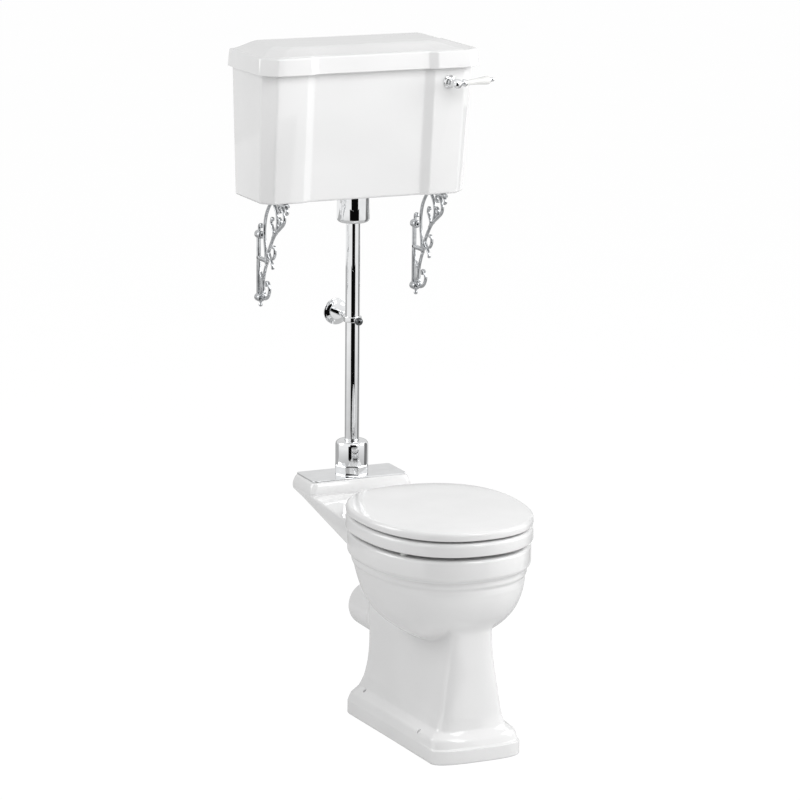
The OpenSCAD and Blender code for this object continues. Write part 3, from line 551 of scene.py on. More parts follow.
def dress(slot: Slot, *nodes: str) -> None:
    """Gives CAD nodes, whose shapes are right as they are, their finish.

    Args:
        slot: the record's slot.
        nodes: names of the nodes.
    """
    for name in nodes:
        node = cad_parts[name]
        node.data.materials.clear()
        node.data.materials.append(finish_of(slot))
        LOG.info("%s: shape from the frame, finish %s", name, slot.value)


# ---------------------------------------------------------------- finishes


def linear(code: str) -> tuple[float, ...]:
    """Linear colour of an sRGB hex value: ((c + 0.055) / 1.055)^2.4 above 0.04045, c / 12.92 below.

    Args:
        code: the hex value, such as #F1F1F1.

    Returns:
        Red, green, blue and an alpha of 1.
    """
    c = np.array([int(code[k : k + 2], 16) for k in (1, 3, 5)]) / 255
    c = np.where(c > 0.04045, ((c + 0.055) / 1.055) ** 2.4, c / 12.92)
    return (*(float(x) for x in c), 1.0)


def add(tree: Tree, kind: str, values: dict | None = None, stops: Sequence[tuple[float, str]] = (),
        **settings: object) -> bpy.types.Node:
    """Adds a node with its settings and inputs.

    Args:
        tree: the node tree.
        kind: the node's type.
        values: input name or number to a value, to another node's output, or to a node whose
            first output is meant.
        stops: places and hex values of a colour ramp.
        settings: the node's own settings.

    Returns:
        The new node.
    """
    node = tree.nodes.new(kind)
    for key, value in settings.items():
        setattr(node, key, value)
    for mark, (place, code) in enumerate(stops):
        node.color_ramp.elements[mark].position = place
        node.color_ramp.elements[mark].color = linear(code)
    for key, value in (values or {}).items():
        value = value.outputs[0] if isinstance(value, bpy.types.Node) else value
        if isinstance(value, bpy.types.NodeSocket):
            tree.links.new(value, node.inputs[key])
        else:
            node.inputs[key].default_value = value
    return node


def begin(name: str) -> tuple[bpy.types.Material, Tree, bpy.types.NodeSocket]:
    """New material with an empty tree.

    Args:
        name: name of the material.

    Returns:
        The material, its tree, and the socket of the object's own coordinates.
    """
    material = bpy.data.materials.new(name)
    material.use_nodes = True
    tree = material.node_tree
    tree.nodes.clear()
    return material, tree, add(tree, "ShaderNodeTexCoord").outputs["Object"]


# most of a noise's values lie between these two, so its slow waves use the whole range
SPREAD = {"From Min": 0.3, "From Max": 0.7}
LOW_STOP, HIGH_STOP = 0.35, 0.65


@dataclass(frozen=True)
class VitreousChina:
    """Slip-cast clay under a thick fired white glaze: it flows over edges and sets with a slow ripple.

    The eye sees an even white, long soft reflections that waver a little, and a faint peel.
    """

    name: str
    white: str = "#F1F1F1"
    shade: str = "#EDEDED"
    shade_mm: float = 160.0
    roughness: float = 0.07
    wipe_mm: float = 60.0
    ripple_mm: float = 22.0
    ripple_depth_mm: float = 0.035
    peel_mm: float = 4.0
    peel_depth_mm: float = 0.004

    def material(self) -> bpy.types.Material:
        """Builds the node material.

        Returns:
            The material.
        """
        material, tree, at = begin(self.name)
        layers = ((self.shade_mm, 1), (self.wipe_mm, 2), (self.ripple_mm, 1), (self.peel_mm, 2))
        slow, wipe, ripple, peel = (
            add(tree, "ShaderNodeTexNoise", {"Vector": at, "Scale": 1 / MM / size, "Detail": detail})
            for size, detail in layers
        )
        stops = [(LOW_STOP, self.shade), (HIGH_STOP, self.white)]
        colour = add(tree, "ShaderNodeValToRGB", {"Fac": slow}, stops)
        ends = {"To Min": self.roughness * 0.8, "To Max": self.roughness * 1.3}
        rough = add(tree, "ShaderNodeMapRange", {"Value": wipe, **SPREAD, **ends})
        waves = add(tree, "ShaderNodeBump", {"Height": ripple, "Distance": self.ripple_depth_mm * MM})
        fine = {"Height": peel, "Distance": self.peel_depth_mm * MM, "Normal": waves}
        glaze = add(tree, "ShaderNodeBsdfPrincipled", {
            "Base Color": colour, "Roughness": rough, "IOR": 1.52, "Specular IOR Level": 0.5,
            "Coat Weight": 0.35, "Coat Roughness": 0.03, "Coat IOR": 1.5,
            "Normal": add(tree, "ShaderNodeBump", fine), "Coat Normal": waves})
        add(tree, "ShaderNodeOutputMaterial", {"Surface": glaze})
        return material


@dataclass(frozen=True)
class PolishedPlate:
    """Bright metal plate over polished brass, buffed before plating.

    The eye sees a mirror with a cool grey tone, faint buffing haze and soft handling marks.
    """

    name: str
    colour: str = "#F0F1F2"
    dull: str = "#E9EAEB"
    roughness: float = 0.028
    haze_mm: float = 30.0
    buff_mm: float = 1.2
    buff_depth_mm: float = 0.0002
    # buffing marks are this many times finer along Z than across
    buff_stretch: float = 12.0

    def material(self) -> bpy.types.Material:
        """Builds the node material.

        Returns:
            The material.
        """
        material, tree, at = begin(self.name)
        long_marks = {"Vector": at, "Scale": (1.0, 1.0, self.buff_stretch)}
        drawn_out = add(tree, "ShaderNodeMapping", long_marks)
        spots = ((at, self.haze_mm, 3), (drawn_out, self.buff_mm * self.buff_stretch, 2))
        haze, marks = (
            add(tree, "ShaderNodeTexNoise", {"Vector": where, "Scale": 1 / MM / size, "Detail": detail})
            for where, size, detail in spots
        )
        stops = [(LOW_STOP, self.dull), (HIGH_STOP, self.colour)]
        ends = {"To Min": self.roughness * 0.6, "To Max": self.roughness * 1.6}
        metal = add(tree, "ShaderNodeBsdfPrincipled", {
            "Base Color": add(tree, "ShaderNodeValToRGB", {"Fac": haze}, stops), "Metallic": 1.0,
            "Roughness": add(tree, "ShaderNodeMapRange", {"Value": haze, **SPREAD, **ends}),
            "Normal": add(tree, "ShaderNodeBump", {"Height": marks, "Distance": self.buff_depth_mm * MM})})
        add(tree, "ShaderNodeOutputMaterial", {"Surface": metal})
        return material


@dataclass(frozen=True)
class SprayedLacquer:
    """White lacquer sprayed on a pressed wood seat and polished.

    The eye sees a white a little softer than the china, with a fine orange peel in its highlights.
    """

    name: str
    white: str = "#EFEFEF"
    shade: str = "#EBEBEB"
    shade_mm: float = 120.0
    roughness: float = 0.16
    wipe_mm: float = 40.0
    peel_mm: float = 2.4
    peel_depth_mm: float = 0.006
    wave_mm: float = 30.0
    wave_depth_mm: float = 0.03

    def material(self) -> bpy.types.Material:
        """Builds the node material.

        Returns:
            The material.
        """
        material, tree, at = begin(self.name)
        layers = ((self.shade_mm, 1), (self.wipe_mm, 2), (self.peel_mm, 2), (self.wave_mm, 1))
        slow, wipe, peel, wave = (
            add(tree, "ShaderNodeTexNoise", {"Vector": at, "Scale": 1 / MM / size, "Detail": detail})
            for size, detail in layers
        )
        stops = [(LOW_STOP, self.shade), (HIGH_STOP, self.white)]
        ends = {"To Min": self.roughness * 0.8, "To Max": self.roughness * 1.3}
        fine = add(tree, "ShaderNodeBump", {"Height": peel, "Distance": self.peel_depth_mm * MM})
        slack = {"Height": wave, "Distance": self.wave_depth_mm * MM, "Normal": fine}
        lacquer = add(tree, "ShaderNodeBsdfPrincipled", {
            "Base Color": add(tree, "ShaderNodeValToRGB", {"Fac": slow}, stops),
            "Roughness": add(tree, "ShaderNodeMapRange", {"Value": wipe, **SPREAD, **ends}),
            "IOR": 1.5, "Specular IOR Level": 0.5, "Coat Weight": 0.3, "Coat Roughness": 0.06,
            "Normal": add(tree, "ShaderNodeBump", slack)})
        add(tree, "ShaderNodeOutputMaterial", {"Surface": lacquer})
        return material


@dataclass(frozen=True)
class MouldedPolymer:
    """Rubber or plastic moulded in a steel tool with a fine eroded grain.

    The eye sees a flat even colour with a dull sheen, and paler worn patches on the rubber.
    """

    name: str
    colour: str
    worn: str
    roughness: float
    worn_mm: float = 14.0
    dull_mm: float = 6.0
    grain_mm: float = 0.9
    grain_depth_mm: float = 0.02

    def material(self) -> bpy.types.Material:
        """Builds the node material.

        Returns:
            The material.
        """
        material, tree, at = begin(self.name)
        layers = ((self.worn_mm, 3), (self.dull_mm, 2), (self.grain_mm, 3))
        worn, dull, grain = (
            add(tree, "ShaderNodeTexNoise", {"Vector": at, "Scale": 1 / MM / size, "Detail": detail})
            for size, detail in layers
        )
        stops = [(LOW_STOP, self.colour), (HIGH_STOP, self.worn)]
        ends = {"To Min": self.roughness * 0.85, "To Max": self.roughness * 1.15}
        polymer = add(tree, "ShaderNodeBsdfPrincipled", {
            "Base Color": add(tree, "ShaderNodeValToRGB", {"Fac": worn}, stops),
            "Roughness": add(tree, "ShaderNodeMapRange", {"Value": dull, **SPREAD, **ends}), "IOR": 1.5,
            "Normal": add(tree, "ShaderNodeBump", {"Height": grain, "Distance": self.grain_depth_mm * MM})})
        add(tree, "ShaderNodeOutputMaterial", {"Surface": polymer})
        return material


Finish = VitreousChina | PolishedPlate | SprayedLacquer | MouldedPolymer
FINISHES: dict[Slot | Look, Finish] = {
    Slot.CHINA: VitreousChina("glazed_vitreous_china"),
    Slot.HANDLE: VitreousChina("glazed_porcelain_handle", white="#F5F5F3", shade="#F0F0EE",
                               roughness=0.06, ripple_mm=9, ripple_depth_mm=0.01),
    Slot.CHROME: PolishedPlate("polished_chrome_plate"),
    # the brackets keep some of the sand mould's grain under the plate, so they mirror softly
    Look.CAST: PolishedPlate("cast_chrome_plate", "#CDCFD1", "#B4B6B8", 0.10, 9.0, 1.0, 0.001),
    # painted reflection: the ball's colour is painted dark for the dark side of the room, which it mirrors nearly all
    # over as it stands in front of the pipe
    Look.PAINTED_DARK: PolishedPlate("chrome_ball_painted_dark_reflection", "#5A5C5E", "#505254", 0.05),
    Slot.SEAT: SprayedLacquer("sprayed_white_lacquer"),
    Slot.RUBBER: MouldedPolymer("moulded_black_rubber", "#26282A", "#303234", 0.62),
    Slot.BUFFER: MouldedPolymer("moulded_clear_grey_buffer", "#C9CBC8", "#D3D5D2", 0.38),
    Slot.WORKS: MouldedPolymer("moulded_white_plastic", "#E6E6E0", "#DEDED8", 0.42),
    Slot.BRASS: PolishedPlate("drawn_brass", "#D8B96F", "#BE9C57", 0.22, 5.0, 0.8, 0.002),
}
_made: dict[Slot | Look, bpy.types.Material] = {}


def finish_of(kind: Slot | Look) -> bpy.types.Material:
    """Material of a slot or look, made the first time it is asked for.

    Args:
        kind: the slot or look.

    Returns:
        Its material.
    """
    if kind not in _made:
        _made[kind] = FINISHES[kind].material()
    return _made[kind]


# ---------------------------------------------------------------- places shared by the pieces

WALL_Y = 535.0
PIPE_Y = 443.0
RIM_Z = 440.0
CISTERN_Z = 1097.0
# powers of the rim's outline, of the foot's front and back and of a strap's section: 2 makes
# an oval, and more makes it squarer
RIM_POWER = 2.3
TOE_POWER = 3.0
BACK_POWER = 3.4
STRAP_POWER = 3.0
TOWARDS_FRONT = (0, -1, 0)
TOWARDS_WALL = (0, 1, 0)


def upright(shell: Shell, z: float, y: float = PIPE_Y, x: float = 0.0) -> Shell:
    """A turned shape stood on its place, with its axis upright."""
    return shell.moved(np.eye(3), (x, y, z))


# ---------------------------------------------------------------- pan


@dataclass
class Pan:
    """China pan in one casting: bowl, pedestal, trap, deck, platform and outlet spigot."""

    half: float = 181.0
    front: float = 242.0
    back: float = 190.0
    middle: float = -4.0
    centre_y: float = -16.0
    foot_high: float = 30.0
    foot_front: float = 103.0
    foot_rear: float = 121.0
    toe_y: float = -201.0
    # the toe's ledge: its depth, the sine of the direction where it starts and its top
    toe_step: float = 4.0
    toe_sine: float = 0.80
    toe_top: float = 110.0
    # at the floor the foot is drawn in by this much, over this height
    floor_in: float = 2.0
    floor_high: float = 2.5
    crown: tuple[float, float] = (150.0, 285.0)
    crown_r: float = 50.0
    outlet_y: float = 204.0
    outlet_z: float = 195.0
    outlet_half: float = 53.0
    outlet_deep: float = 55.0
    outlet_end: float = 342.0
    spigot_y: float = 205.0
    # widths over which trap and pedestal, and then the bowl, run into each other
    stem_join: float = 14.0
    bowl_join: float = 16.0
    stem_top: float = 349.0
    deck_start: float = 104.0
    deck_end: float = 495.0
    deck_edge: float = 10.0
    way_z: float = 410.0
    passage_r: float = 38.0
    mouth_r: float = 43.0
    flush_way_r: float = 18.0
    inlet_r: float = 26.0
    arch_r: float = 33.0
    hinge_hole_r: float = 6.0
    screw_hole_r: float = 4.0
    hinge: tuple[float, float] = (77.5, 206.0)
    screws: tuple[float, float] = (98.0, 141.0)
    steps: int = 360
    # height, half width of the bowl, shift of its middle
    rim_edge: tuple = ((440, 165, 0), (440, 181, 0), (398, 181, 0), (390.5, 173.3, 0), (379, 173, -2),
                       (372.5, 169.2, -2), (361, 167.6, -6))
    rim_cuts: tuple = (0, 7, 5, 3.5, 4, 3.5, 0)
    under: tuple = ((361, 167.6, -6), (340, 163, -9), (320, 156.5, -11), (300, 147.5, -12), (282, 135.7, -12),
                    (266, 121.3, -12), (252, 105, -12), (240, 87, -12), (230, 66, -12), (222, 38, -12), (217, 6, -12))
    # height, inset at the front and at the back, setback of the toe, bow, back of the sides, depth of the back
    waist: tuple = (
        (30, 0, 0, 0, 36, 176, 25), (38, 1.5, 3, 2, 34, 175, 24), (47, 3, 7, 5, 32, 174, 24),
        (53, 6, 14, 9, 30, 173, 23), (59, 15, 21, 14, 29, 172, 22), (67, 24, 28, 18, 28, 172, 22),
        (95, 33, 38, 22, 25, 168, 20), (150, 41, 44, 26, 25, 162, 20), (215, 50, 44, 30, 25, 162, 20),
        (290, 54, 45, 31, 25, 165, 20), (320, 56, 56, 40, 25, 130, 20), (350, 68, 78, 80, 20, 60, 20),
    )
    # height, half width, front, back, middle
    lip: tuple = ((440, 138, 196, 150, -4), (440, 128, 186, 140, -4), (400, 128, 186, 140, -4),
                  (405, 160, 222, 164, -4), (386, 161, 222.5, 164.5, -4))
    lip_cuts: tuple = (0, 8, 4, 7, 0)
    inside: tuple = ((386, 161, 222.5, 164.5, -4), (360, 153, 211, 154, -6), (330, 144, 198, 142, -10),
                     (300, 128, 176, 122, -11), (270, 98, 134, 96, -9), (252, 72, 100, 80, -6), (238, 54, 74, 66, 2),
                     (205, 46, 58, 62, 8), (170, 42, 48, 54, 12), (152, 38, 42, 48, 14), (146, 26, 30, 36, 14))
    # height, the six sizes of a foot outline, centre along Y
    empty: tuple = (
        (222, 42, 42, -156, 18, -90, 12, -125), (217, 47, 47, -158, 20, -88, 12, -125),
        (136, 55, 55, -160, 20, -79, 12, -125), (134, 57, 58, -159, 20, 137, 18, -16),
        (130, 59, 60, -160, 20, 138, 18, -16), (80, 66, 76, -166, 25, 146, 18, -16),
        (30, 71, 89, -172, 30, 148, 20, -16), (2, 71, 89, -172, 30, 148, 20, -16), (0, 73, 91, -174, 30, 150, 20, -16),
    )
    # height of the platform's side and how far it swells there
    swell: tuple = ((427, -9), (428.5, -1), (433, 5), (441, 7), (449, 6.4), (456, 4.6), (462, 2.2), (465.4, 0),
                    (466.8, -1.8), (467, -4))

    def angles(self) -> np.ndarray:
        """Directions of the points of every ring."""
        return np.linspace(0, 2 * math.pi, self.steps, endpoint=False)

    def ring(self, distance: np.ndarray, centre_y: float, z: float) -> np.ndarray:
        """Ring of points at the given distances round a centre, at one height."""
        a = self.angles()
        return np.column_stack([distance * np.cos(a), centre_y + distance * np.sin(a), np.full(self.steps, z)])

    def pedestal(self, z: float) -> np.ndarray:
        """Distance from the centre to the pedestal at a height.

        The waist's levels are joined by smooth curves. Below the foot's height the outline
        is the foot's own, drawn in a little at the floor, and over the toe a narrow ledge
        is cut back where the direction is near straight ahead.

        Args:
            z: the height.

        Returns:
            One distance for each direction.
        """
        rows = smooth_path(self.waist, 6)
        front, rear, setback, bow, rear_y, deep = (np.interp(z, rows[:, 0], rows[:, k]) for k in range(1, 7))
        foot = foot_outline(self.foot_front - front, self.foot_rear - rear, self.toe_y + setback, bow, rear_y, deep)
        far = reach(foot, (0, self.centre_y), self.angles())
        ahead = ease((-np.sin(self.angles()) - self.toe_sine) / 0.08)
        over = ease((z - self.foot_high + 1) / 4) * ease((self.toe_top - z) / 70)
        floor = self.floor_in * ease((self.floor_high - z) / self.floor_high)
        return far - self.toe_step * ahead * over - floor

    def trap(self, z: float) -> np.ndarray:
        """Distance to the trap's outside: a ball at the crown, a slanting leg and a ball at the outlet.

        Args:
            z: the height.

        Returns:
            One distance for each direction.
        """
        crown_y, crown_z = self.crown
        if z >= crown_z:
            half = deep = math.sqrt(max(self.crown_r**2 - (z - crown_z) ** 2, AXIS))
            mid = crown_y
        elif z >= self.outlet_z:
            share = (crown_z - z) / (crown_z - self.outlet_z)
            half, deep = blend(self.crown_r, self.outlet_half, share), blend(self.crown_r, self.outlet_deep, share)
            mid = blend(crown_y, self.outlet_y, share)
        else:
            half = math.sqrt(max(self.outlet_half**2 - (self.outlet_z - z) ** 2, AXIS))
            deep, mid = half * self.outlet_deep / self.outlet_half, self.outlet_y
        return reach_oval(half, deep, mid, self.centre_y, self.angles())

    def stem(self, z: float) -> np.ndarray:
        """Distance to the pedestal or the trap behind it, whichever is farther, at a height."""
        return soft_max(self.pedestal(z), self.trap(z), self.stem_join)

    def outside(self) -> np.ndarray:
        """Rings up the outside, from the floor to the top of the rim.

        Each ring is the farthest of bowl, pedestal and trap in every direction, with the
        meetings rounded as cast china is.

        Returns:
            The rings.
        """
        rim = rounded(self.rim_edge, self.rim_cuts, closed=False, steps=7)
        rows = np.concatenate([rim, smooth_path(self.under, 4)[1:]])
        # the levels lie closest at the floor and where the foot's edge turns in
        low = np.concatenate([[0, 0.5, 1.2, 2.5], np.linspace(6, 28, 5), np.linspace(29, 36, 8),
                              np.linspace(38, 70, 14), np.linspace(75, 213, 28)])
        rings = [self.ring(self.stem(z), self.centre_y, z) for z in low]
        for z, half, shift in rows[::-1]:
            share = half / self.half
            outline = egg(half, self.front * share, self.back * share, self.middle + shift)
            bowl = reach(outline, (0, self.centre_y), self.angles())
            body = self.stem(z) if z < self.stem_top else np.zeros(self.steps)
            rings.append(self.ring(soft_max(bowl, body, self.bowl_join), self.centre_y, z))
        return np.stack(rings)

    def well(self) -> np.ndarray:
        """Rings from the top of the rim round its lip and down the inside of the bowl.

        Returns:
            The rings.
        """
        lip = rounded(self.lip, self.lip_cuts, closed=False, steps=7)
        rows = np.concatenate([lip, smooth_path(self.inside, 4)[1:]])
        rings = []
        for z, half, front, back, mid in rows:
            centre = float(np.interp(z, [150, 290], [12, self.centre_y]))
            rings.append(self.ring(reach(egg(half, front, back, mid), (0, centre), self.angles()), centre, z))
        return np.stack(rings)

    def hollow(self) -> np.ndarray:
        """Rings of the empty casting, from its highest place under the bowl down to the floor.

        Returns:
            The rings.
        """
        return np.stack([
            self.ring(reach(foot_outline(*sizes), (0, centre), self.angles()), centre, z)
            for z, *sizes, centre in self.empty
        ])

    def casting(self) -> Shell:
        """Bowl, pedestal and trap: one closed skin through the hollow, the outside and the well."""
        return skin(np.concatenate([self.hollow(), self.outside(), self.well()]))

    def section(self, y: float, half: float, low: float, high: float, cuts: Vec) -> np.ndarray:
        """Ring of an upright section with rounded corners, at a place along Y."""
        line = rounded([[half, low], [half, high], [-half, high], [-half, low]], cuts)
        return np.column_stack([line[:, 0], np.full(len(line), float(y)), line[:, 1]])

    def deck(self) -> Shell:
        """Rear deck: rounded sections along Y that narrow and thin towards the wall.

        Its end is rounded over the edge's length: where the edge's length times sin t has
        been gone, the half width is drawn in by 0.7 times that length times 1 - cos t.

        Returns:
            The Shell.
        """
        end, edge = self.deck_end, self.deck_edge
        turn = np.linspace(0, math.pi / 2, 7)[1:]
        y = np.concatenate([np.linspace(self.deck_start, end - edge, 22), end - edge * (1 - np.sin(turn))])
        share = (y - 110) / 385
        shrink = edge * (1 - np.cos(np.arcsin(np.clip((y - (end - edge)) / edge, 0, 1)))) * 0.7
        rings = []
        for place, s, small in zip(y, share, shrink):
            half, low = blend(140, 116, s) - small, blend(380, 427, s) + small * 0.4
            rings.append(self.section(place, half, low, RIM_Z - small * 0.3, [9, 5, 5, 9]))
        return skin(np.stack(rings))

    def pocket(self) -> Shell:
        """Room under the deck, open below, that tapers as the deck does.

        Returns:
            The Shell.
        """
        rings = []
        # place along Y, share of the taper, inset
        for y, s, small in ((190, 0.2, 5), (196, 0.22, 0), (330, 0.57, 0), (470, 0.94, 0), (476, 0.95, 5)):
            rings.append(self.section(y, blend(140, 114.5, s) - 16 - small, 340, 426, [1, 10, 10, 1]))
        return skin(np.stack(rings))

    def platform(self) -> Shell:
        """Raised rear platform: a rounded slab whose sides swell below the cover plate."""
        rows = smooth_path(self.swell, 4)
        return stacked([plate_outline(229 + 2 * grow, 104 + 2 * grow, 12, PIPE_Y) for _, grow in rows], rows[:, 0])

    def spigot(self) -> Shell:
        """Outlet spigot along Y, flared where it leaves the trap.

        Returns:
            The Shell.
        """
        long = self.outlet_end - self.spigot_y
        profile = [[AXIS, 0], [60, 0], [56, 22], [52.5, 33], [51, 44], [51, long], [AXIS, long]]
        return lathe(profile, [0, 4, 8, 6, 6, 3, 0]).moved(axes_to(TOWARDS_WALL), (0, self.spigot_y, self.outlet_z))

    def make(self) -> None:
        """Carves the casting and puts it in the scene."""
        x, y = self.hinge
        sx, sy = self.screws
        sump, crown = (0, 42, 198), (0, *self.crown)
        bend, mouth = (0, self.spigot_y, self.outlet_z), (0, 420, self.outlet_z)
        inlet = (0, PIPE_Y, self.way_z)
        ways = [
            capsule(sump, crown, self.passage_r), capsule(crown, bend, self.passage_r),
            capsule(bend, mouth, self.mouth_r), bar((0, 100, self.way_z), inlet, self.flush_way_r),
            bar(inlet, (0, PIPE_Y, 500), self.inlet_r),
        ]
        holes = [bar((s * x, y, 380), (s * x, y, 470), self.hinge_hole_r) for s in (-1, 1)]
        corners = [(s * sx, t * sy) for s in (-1, 1) for t in (-1, 1)]
        holes += [bar((*corner, -20), (*corner, 90), self.screw_hole_r) for corner in corners]
        deck = carve("deck_work", self.deck(), cuts=[self.pocket()])
        solids = [deck, self.platform(), self.spigot(), capsule((0, self.crown[0], self.way_z), inlet, self.arch_r)]
        mesh = carve("china_pan", self.casting(), solids, ways + holes)
        piece("china_pan", mesh, Slot.CHINA, Body.FIXED, ["pan"])
        dress(Slot.RUBBER, "inlet_seal")


# ---------------------------------------------------------------- seat


@dataclass
class Seat:
    """Seat ring and cover with their buffers and the hinge behind them."""

    half: float = 185.0
    front: float = 246.0
    back: float = 194.0
    middle: float = -4.0
    ring_z: float = 448.5
    ring_t: float = 29.5
    cover_z: float = 483.0
    cover_t: float = 20.0
    opening: tuple[float, float, float] = (112.0, 162.0, 120.0)
    hinge_y: float = 206.0
    hinge_z: float = 470.0
    post_x: float = 77.5
    ring_buffers: tuple = ((-140, -149), (140, -149), (-148, 90), (148, 90))
    cover_buffers: tuple = ((-137, -146), (137, -146))
    deck_under: float = 426.0
    washer_t: float = 4.0
    nut_t: float = 12.5

    def loop(self, sizes: Vec, grow: float, z: float) -> np.ndarray:
        """Ring of an outline, given by half width, front and back, all grown, at a height."""
        shape = egg(*(size + grow for size in sizes), self.middle, count=288)
        return np.column_stack([shape, np.full(len(shape), z)])

    def level(self, inset: float, z: float) -> np.ndarray:
        """Ring of the seat's outline, drawn in by an inset, at a height."""
        return self.loop((self.half, self.front, self.back), -inset, z)

    def hole(self, grow: float, z: float) -> np.ndarray:
        """Ring of the opening's outline, grown outwards, at a height."""
        return self.loop(self.opening, grow, z)

    def ring(self) -> Shell:
        """Seat ring: rounded outer edge, a top that falls a little to the opening, soft inner edge.

        Returns:
            The Shell.
        """
        low, top = self.ring_z, self.ring_z + self.ring_t
        outer = rounded([[30, low], [0, low], [0, top], [34, top - 0.6]], [0, 4, 9, 0], closed=False, steps=8)
        inner = rounded([[20, top - 2], [0, top - 4], [0, low], [20, low]], [0, 9, 3, 0], closed=False, steps=8)
        return skin(np.stack([self.level(i, z) for i, z in outer] + [self.hole(g, z) for g, z in inner]), loop=True)

    def cover(self) -> Shell:
        """Seat cover: a slab with a soft edge and a top that rises very slightly to its middle.

        Returns:
            The Shell.
        """
        low, top = self.cover_z, self.cover_z + self.cover_t
        corners = [[90, low], [0, low], [0, top - 2.4], [60, top - 0.3], [110, top]]
        rows = rounded(corners, [0, 3, 9.5, 20, 0], closed=False, steps=8)
        return skin(np.stack([self.level(i, z) for i, z in rows]))

    def buffer(self, x: float, y: float, low: float, high: float) -> Shell:
        """Round buffer with a soft foot."""
        h = high - low
        return upright(lathe([[AXIS, 0], [7, 0], [8, 2], [8, h], [AXIS, h]], [0, 1.2, 0.6, 0.3, 0]), low, y, x)

    def knuckle(self, x: float) -> Shell:
        """Hinge knuckle round the rod: a short tube along X."""
        wall = [[4.1, 0], [8, 0], [8, 12], [4.1, 12]]
        return tube(wall, 0.8).moved(axes_to((1, 0, 0)), (x - 6, self.hinge_y, self.hinge_z))

    def leaf(self, x: float, z: float, web: tuple[float, float]) -> Shell:
        """Hinge plate: a flat leaf under the wood, an upright web and a knuckle.

        Args:
            x: where its middle lies.
            z: height of the leaf's top.
            web: lowest and highest place of the web.

        Returns:
            The Shell.
        """
        y = self.hinge_y
        flat = block((x - 6, y - 46, z - 3), (x + 6, y - 4, z), 1.0)
        rise = block((x - 5.8, y - 8, web[0]), (x + 5.8, y - 4, web[1]), 1.0)
        return joined([flat, rise, self.knuckle(x)])

    def make(self) -> None:
        """Builds the seat and its hinge."""
        piece("seat_ring_board", self.ring(), Slot.SEAT, Body.RING, ["seat_ring"])
        piece("seat_cover_board", self.cover(), Slot.SEAT, Body.COVER, ["seat_cover"])
        ring_feet = joined([self.buffer(x, y, RIM_Z + 0.3, self.ring_z) for x, y in self.ring_buffers])
        piece("ring_rubber_feet", ring_feet, Slot.BUFFER, Body.RING, ["ring_buffers"])
        cover_feet = joined([self.buffer(x, y, self.cover_z - 4.7, self.cover_z) for x, y in self.cover_buffers])
        piece("cover_rubber_feet", cover_feet, Slot.BUFFER, Body.COVER, ["cover_buffers"])
        self.make_hinge()

    def make_hinge(self) -> None:
        """Builds the hinge rod, posts, leaves and wing nuts, and dresses bolts and washers."""
        y, z, x = self.hinge_y, self.hinge_z, self.post_x
        piece("hinge_long_rod", bar((-x - 10, y, z), (x + 10, y, z), 4, 1.2), Slot.CHROME, Body.FIXED, ["hinge_rod"])
        foot = [[AXIS, 0], [13, 0], [13, 2.4], [7.5, 4.4], [6, 8], [6, 30], [AXIS, 30]]
        foot = lathe(foot, [0, 0.4, 0.8, 1.2, 2, 0.5, 0])
        posts = [upright(foot, RIM_Z, y, s * x) for s in (-1, 1)] + [self.knuckle(s * x) for s in (-1, 1)]
        piece("hinge_pillars", joined(posts), Slot.CHROME, Body.FIXED, ["hinge_posts"])
        leaves = [self.leaf(s * (x - 13), self.ring_z, (self.ring_z - 3, z)) for s in (-1, 1)]
        piece("ring_leaves", joined(leaves), Slot.CHROME, Body.RING, ["ring_hinge_plates"])
        leaves = [self.leaf(s * (x - 26), self.cover_z, (z, self.cover_z)) for s in (-1, 1)]
        piece("cover_leaves", joined(leaves), Slot.CHROME, Body.COVER, ["cover_hinge_plates"])
        low = self.deck_under - self.washer_t - self.nut_t
        wall = [[3.4, 0], [9, 0], [7.5, self.nut_t], [3.4, self.nut_t]]
        nuts = []
        for s in (-1, 1):
            nuts.append(upright(tube(wall, 1.0), low, y, s * x))
            for a, b in ((-17, -6), (6, 17)):
                nuts.append(block((s * x + a, y - 1.9, low), (s * x + b, y + 1.9, low + 8.5), 1.8))
        piece("wing_nuts", joined(nuts), Slot.WORKS, Body.FIXED, ["hinge_wing_nuts"])
        dress(Slot.CHROME, "hinge_bolts")
        dress(Slot.RUBBER, "hinge_washers")


# ---------------------------------------------------------------- flush pipe


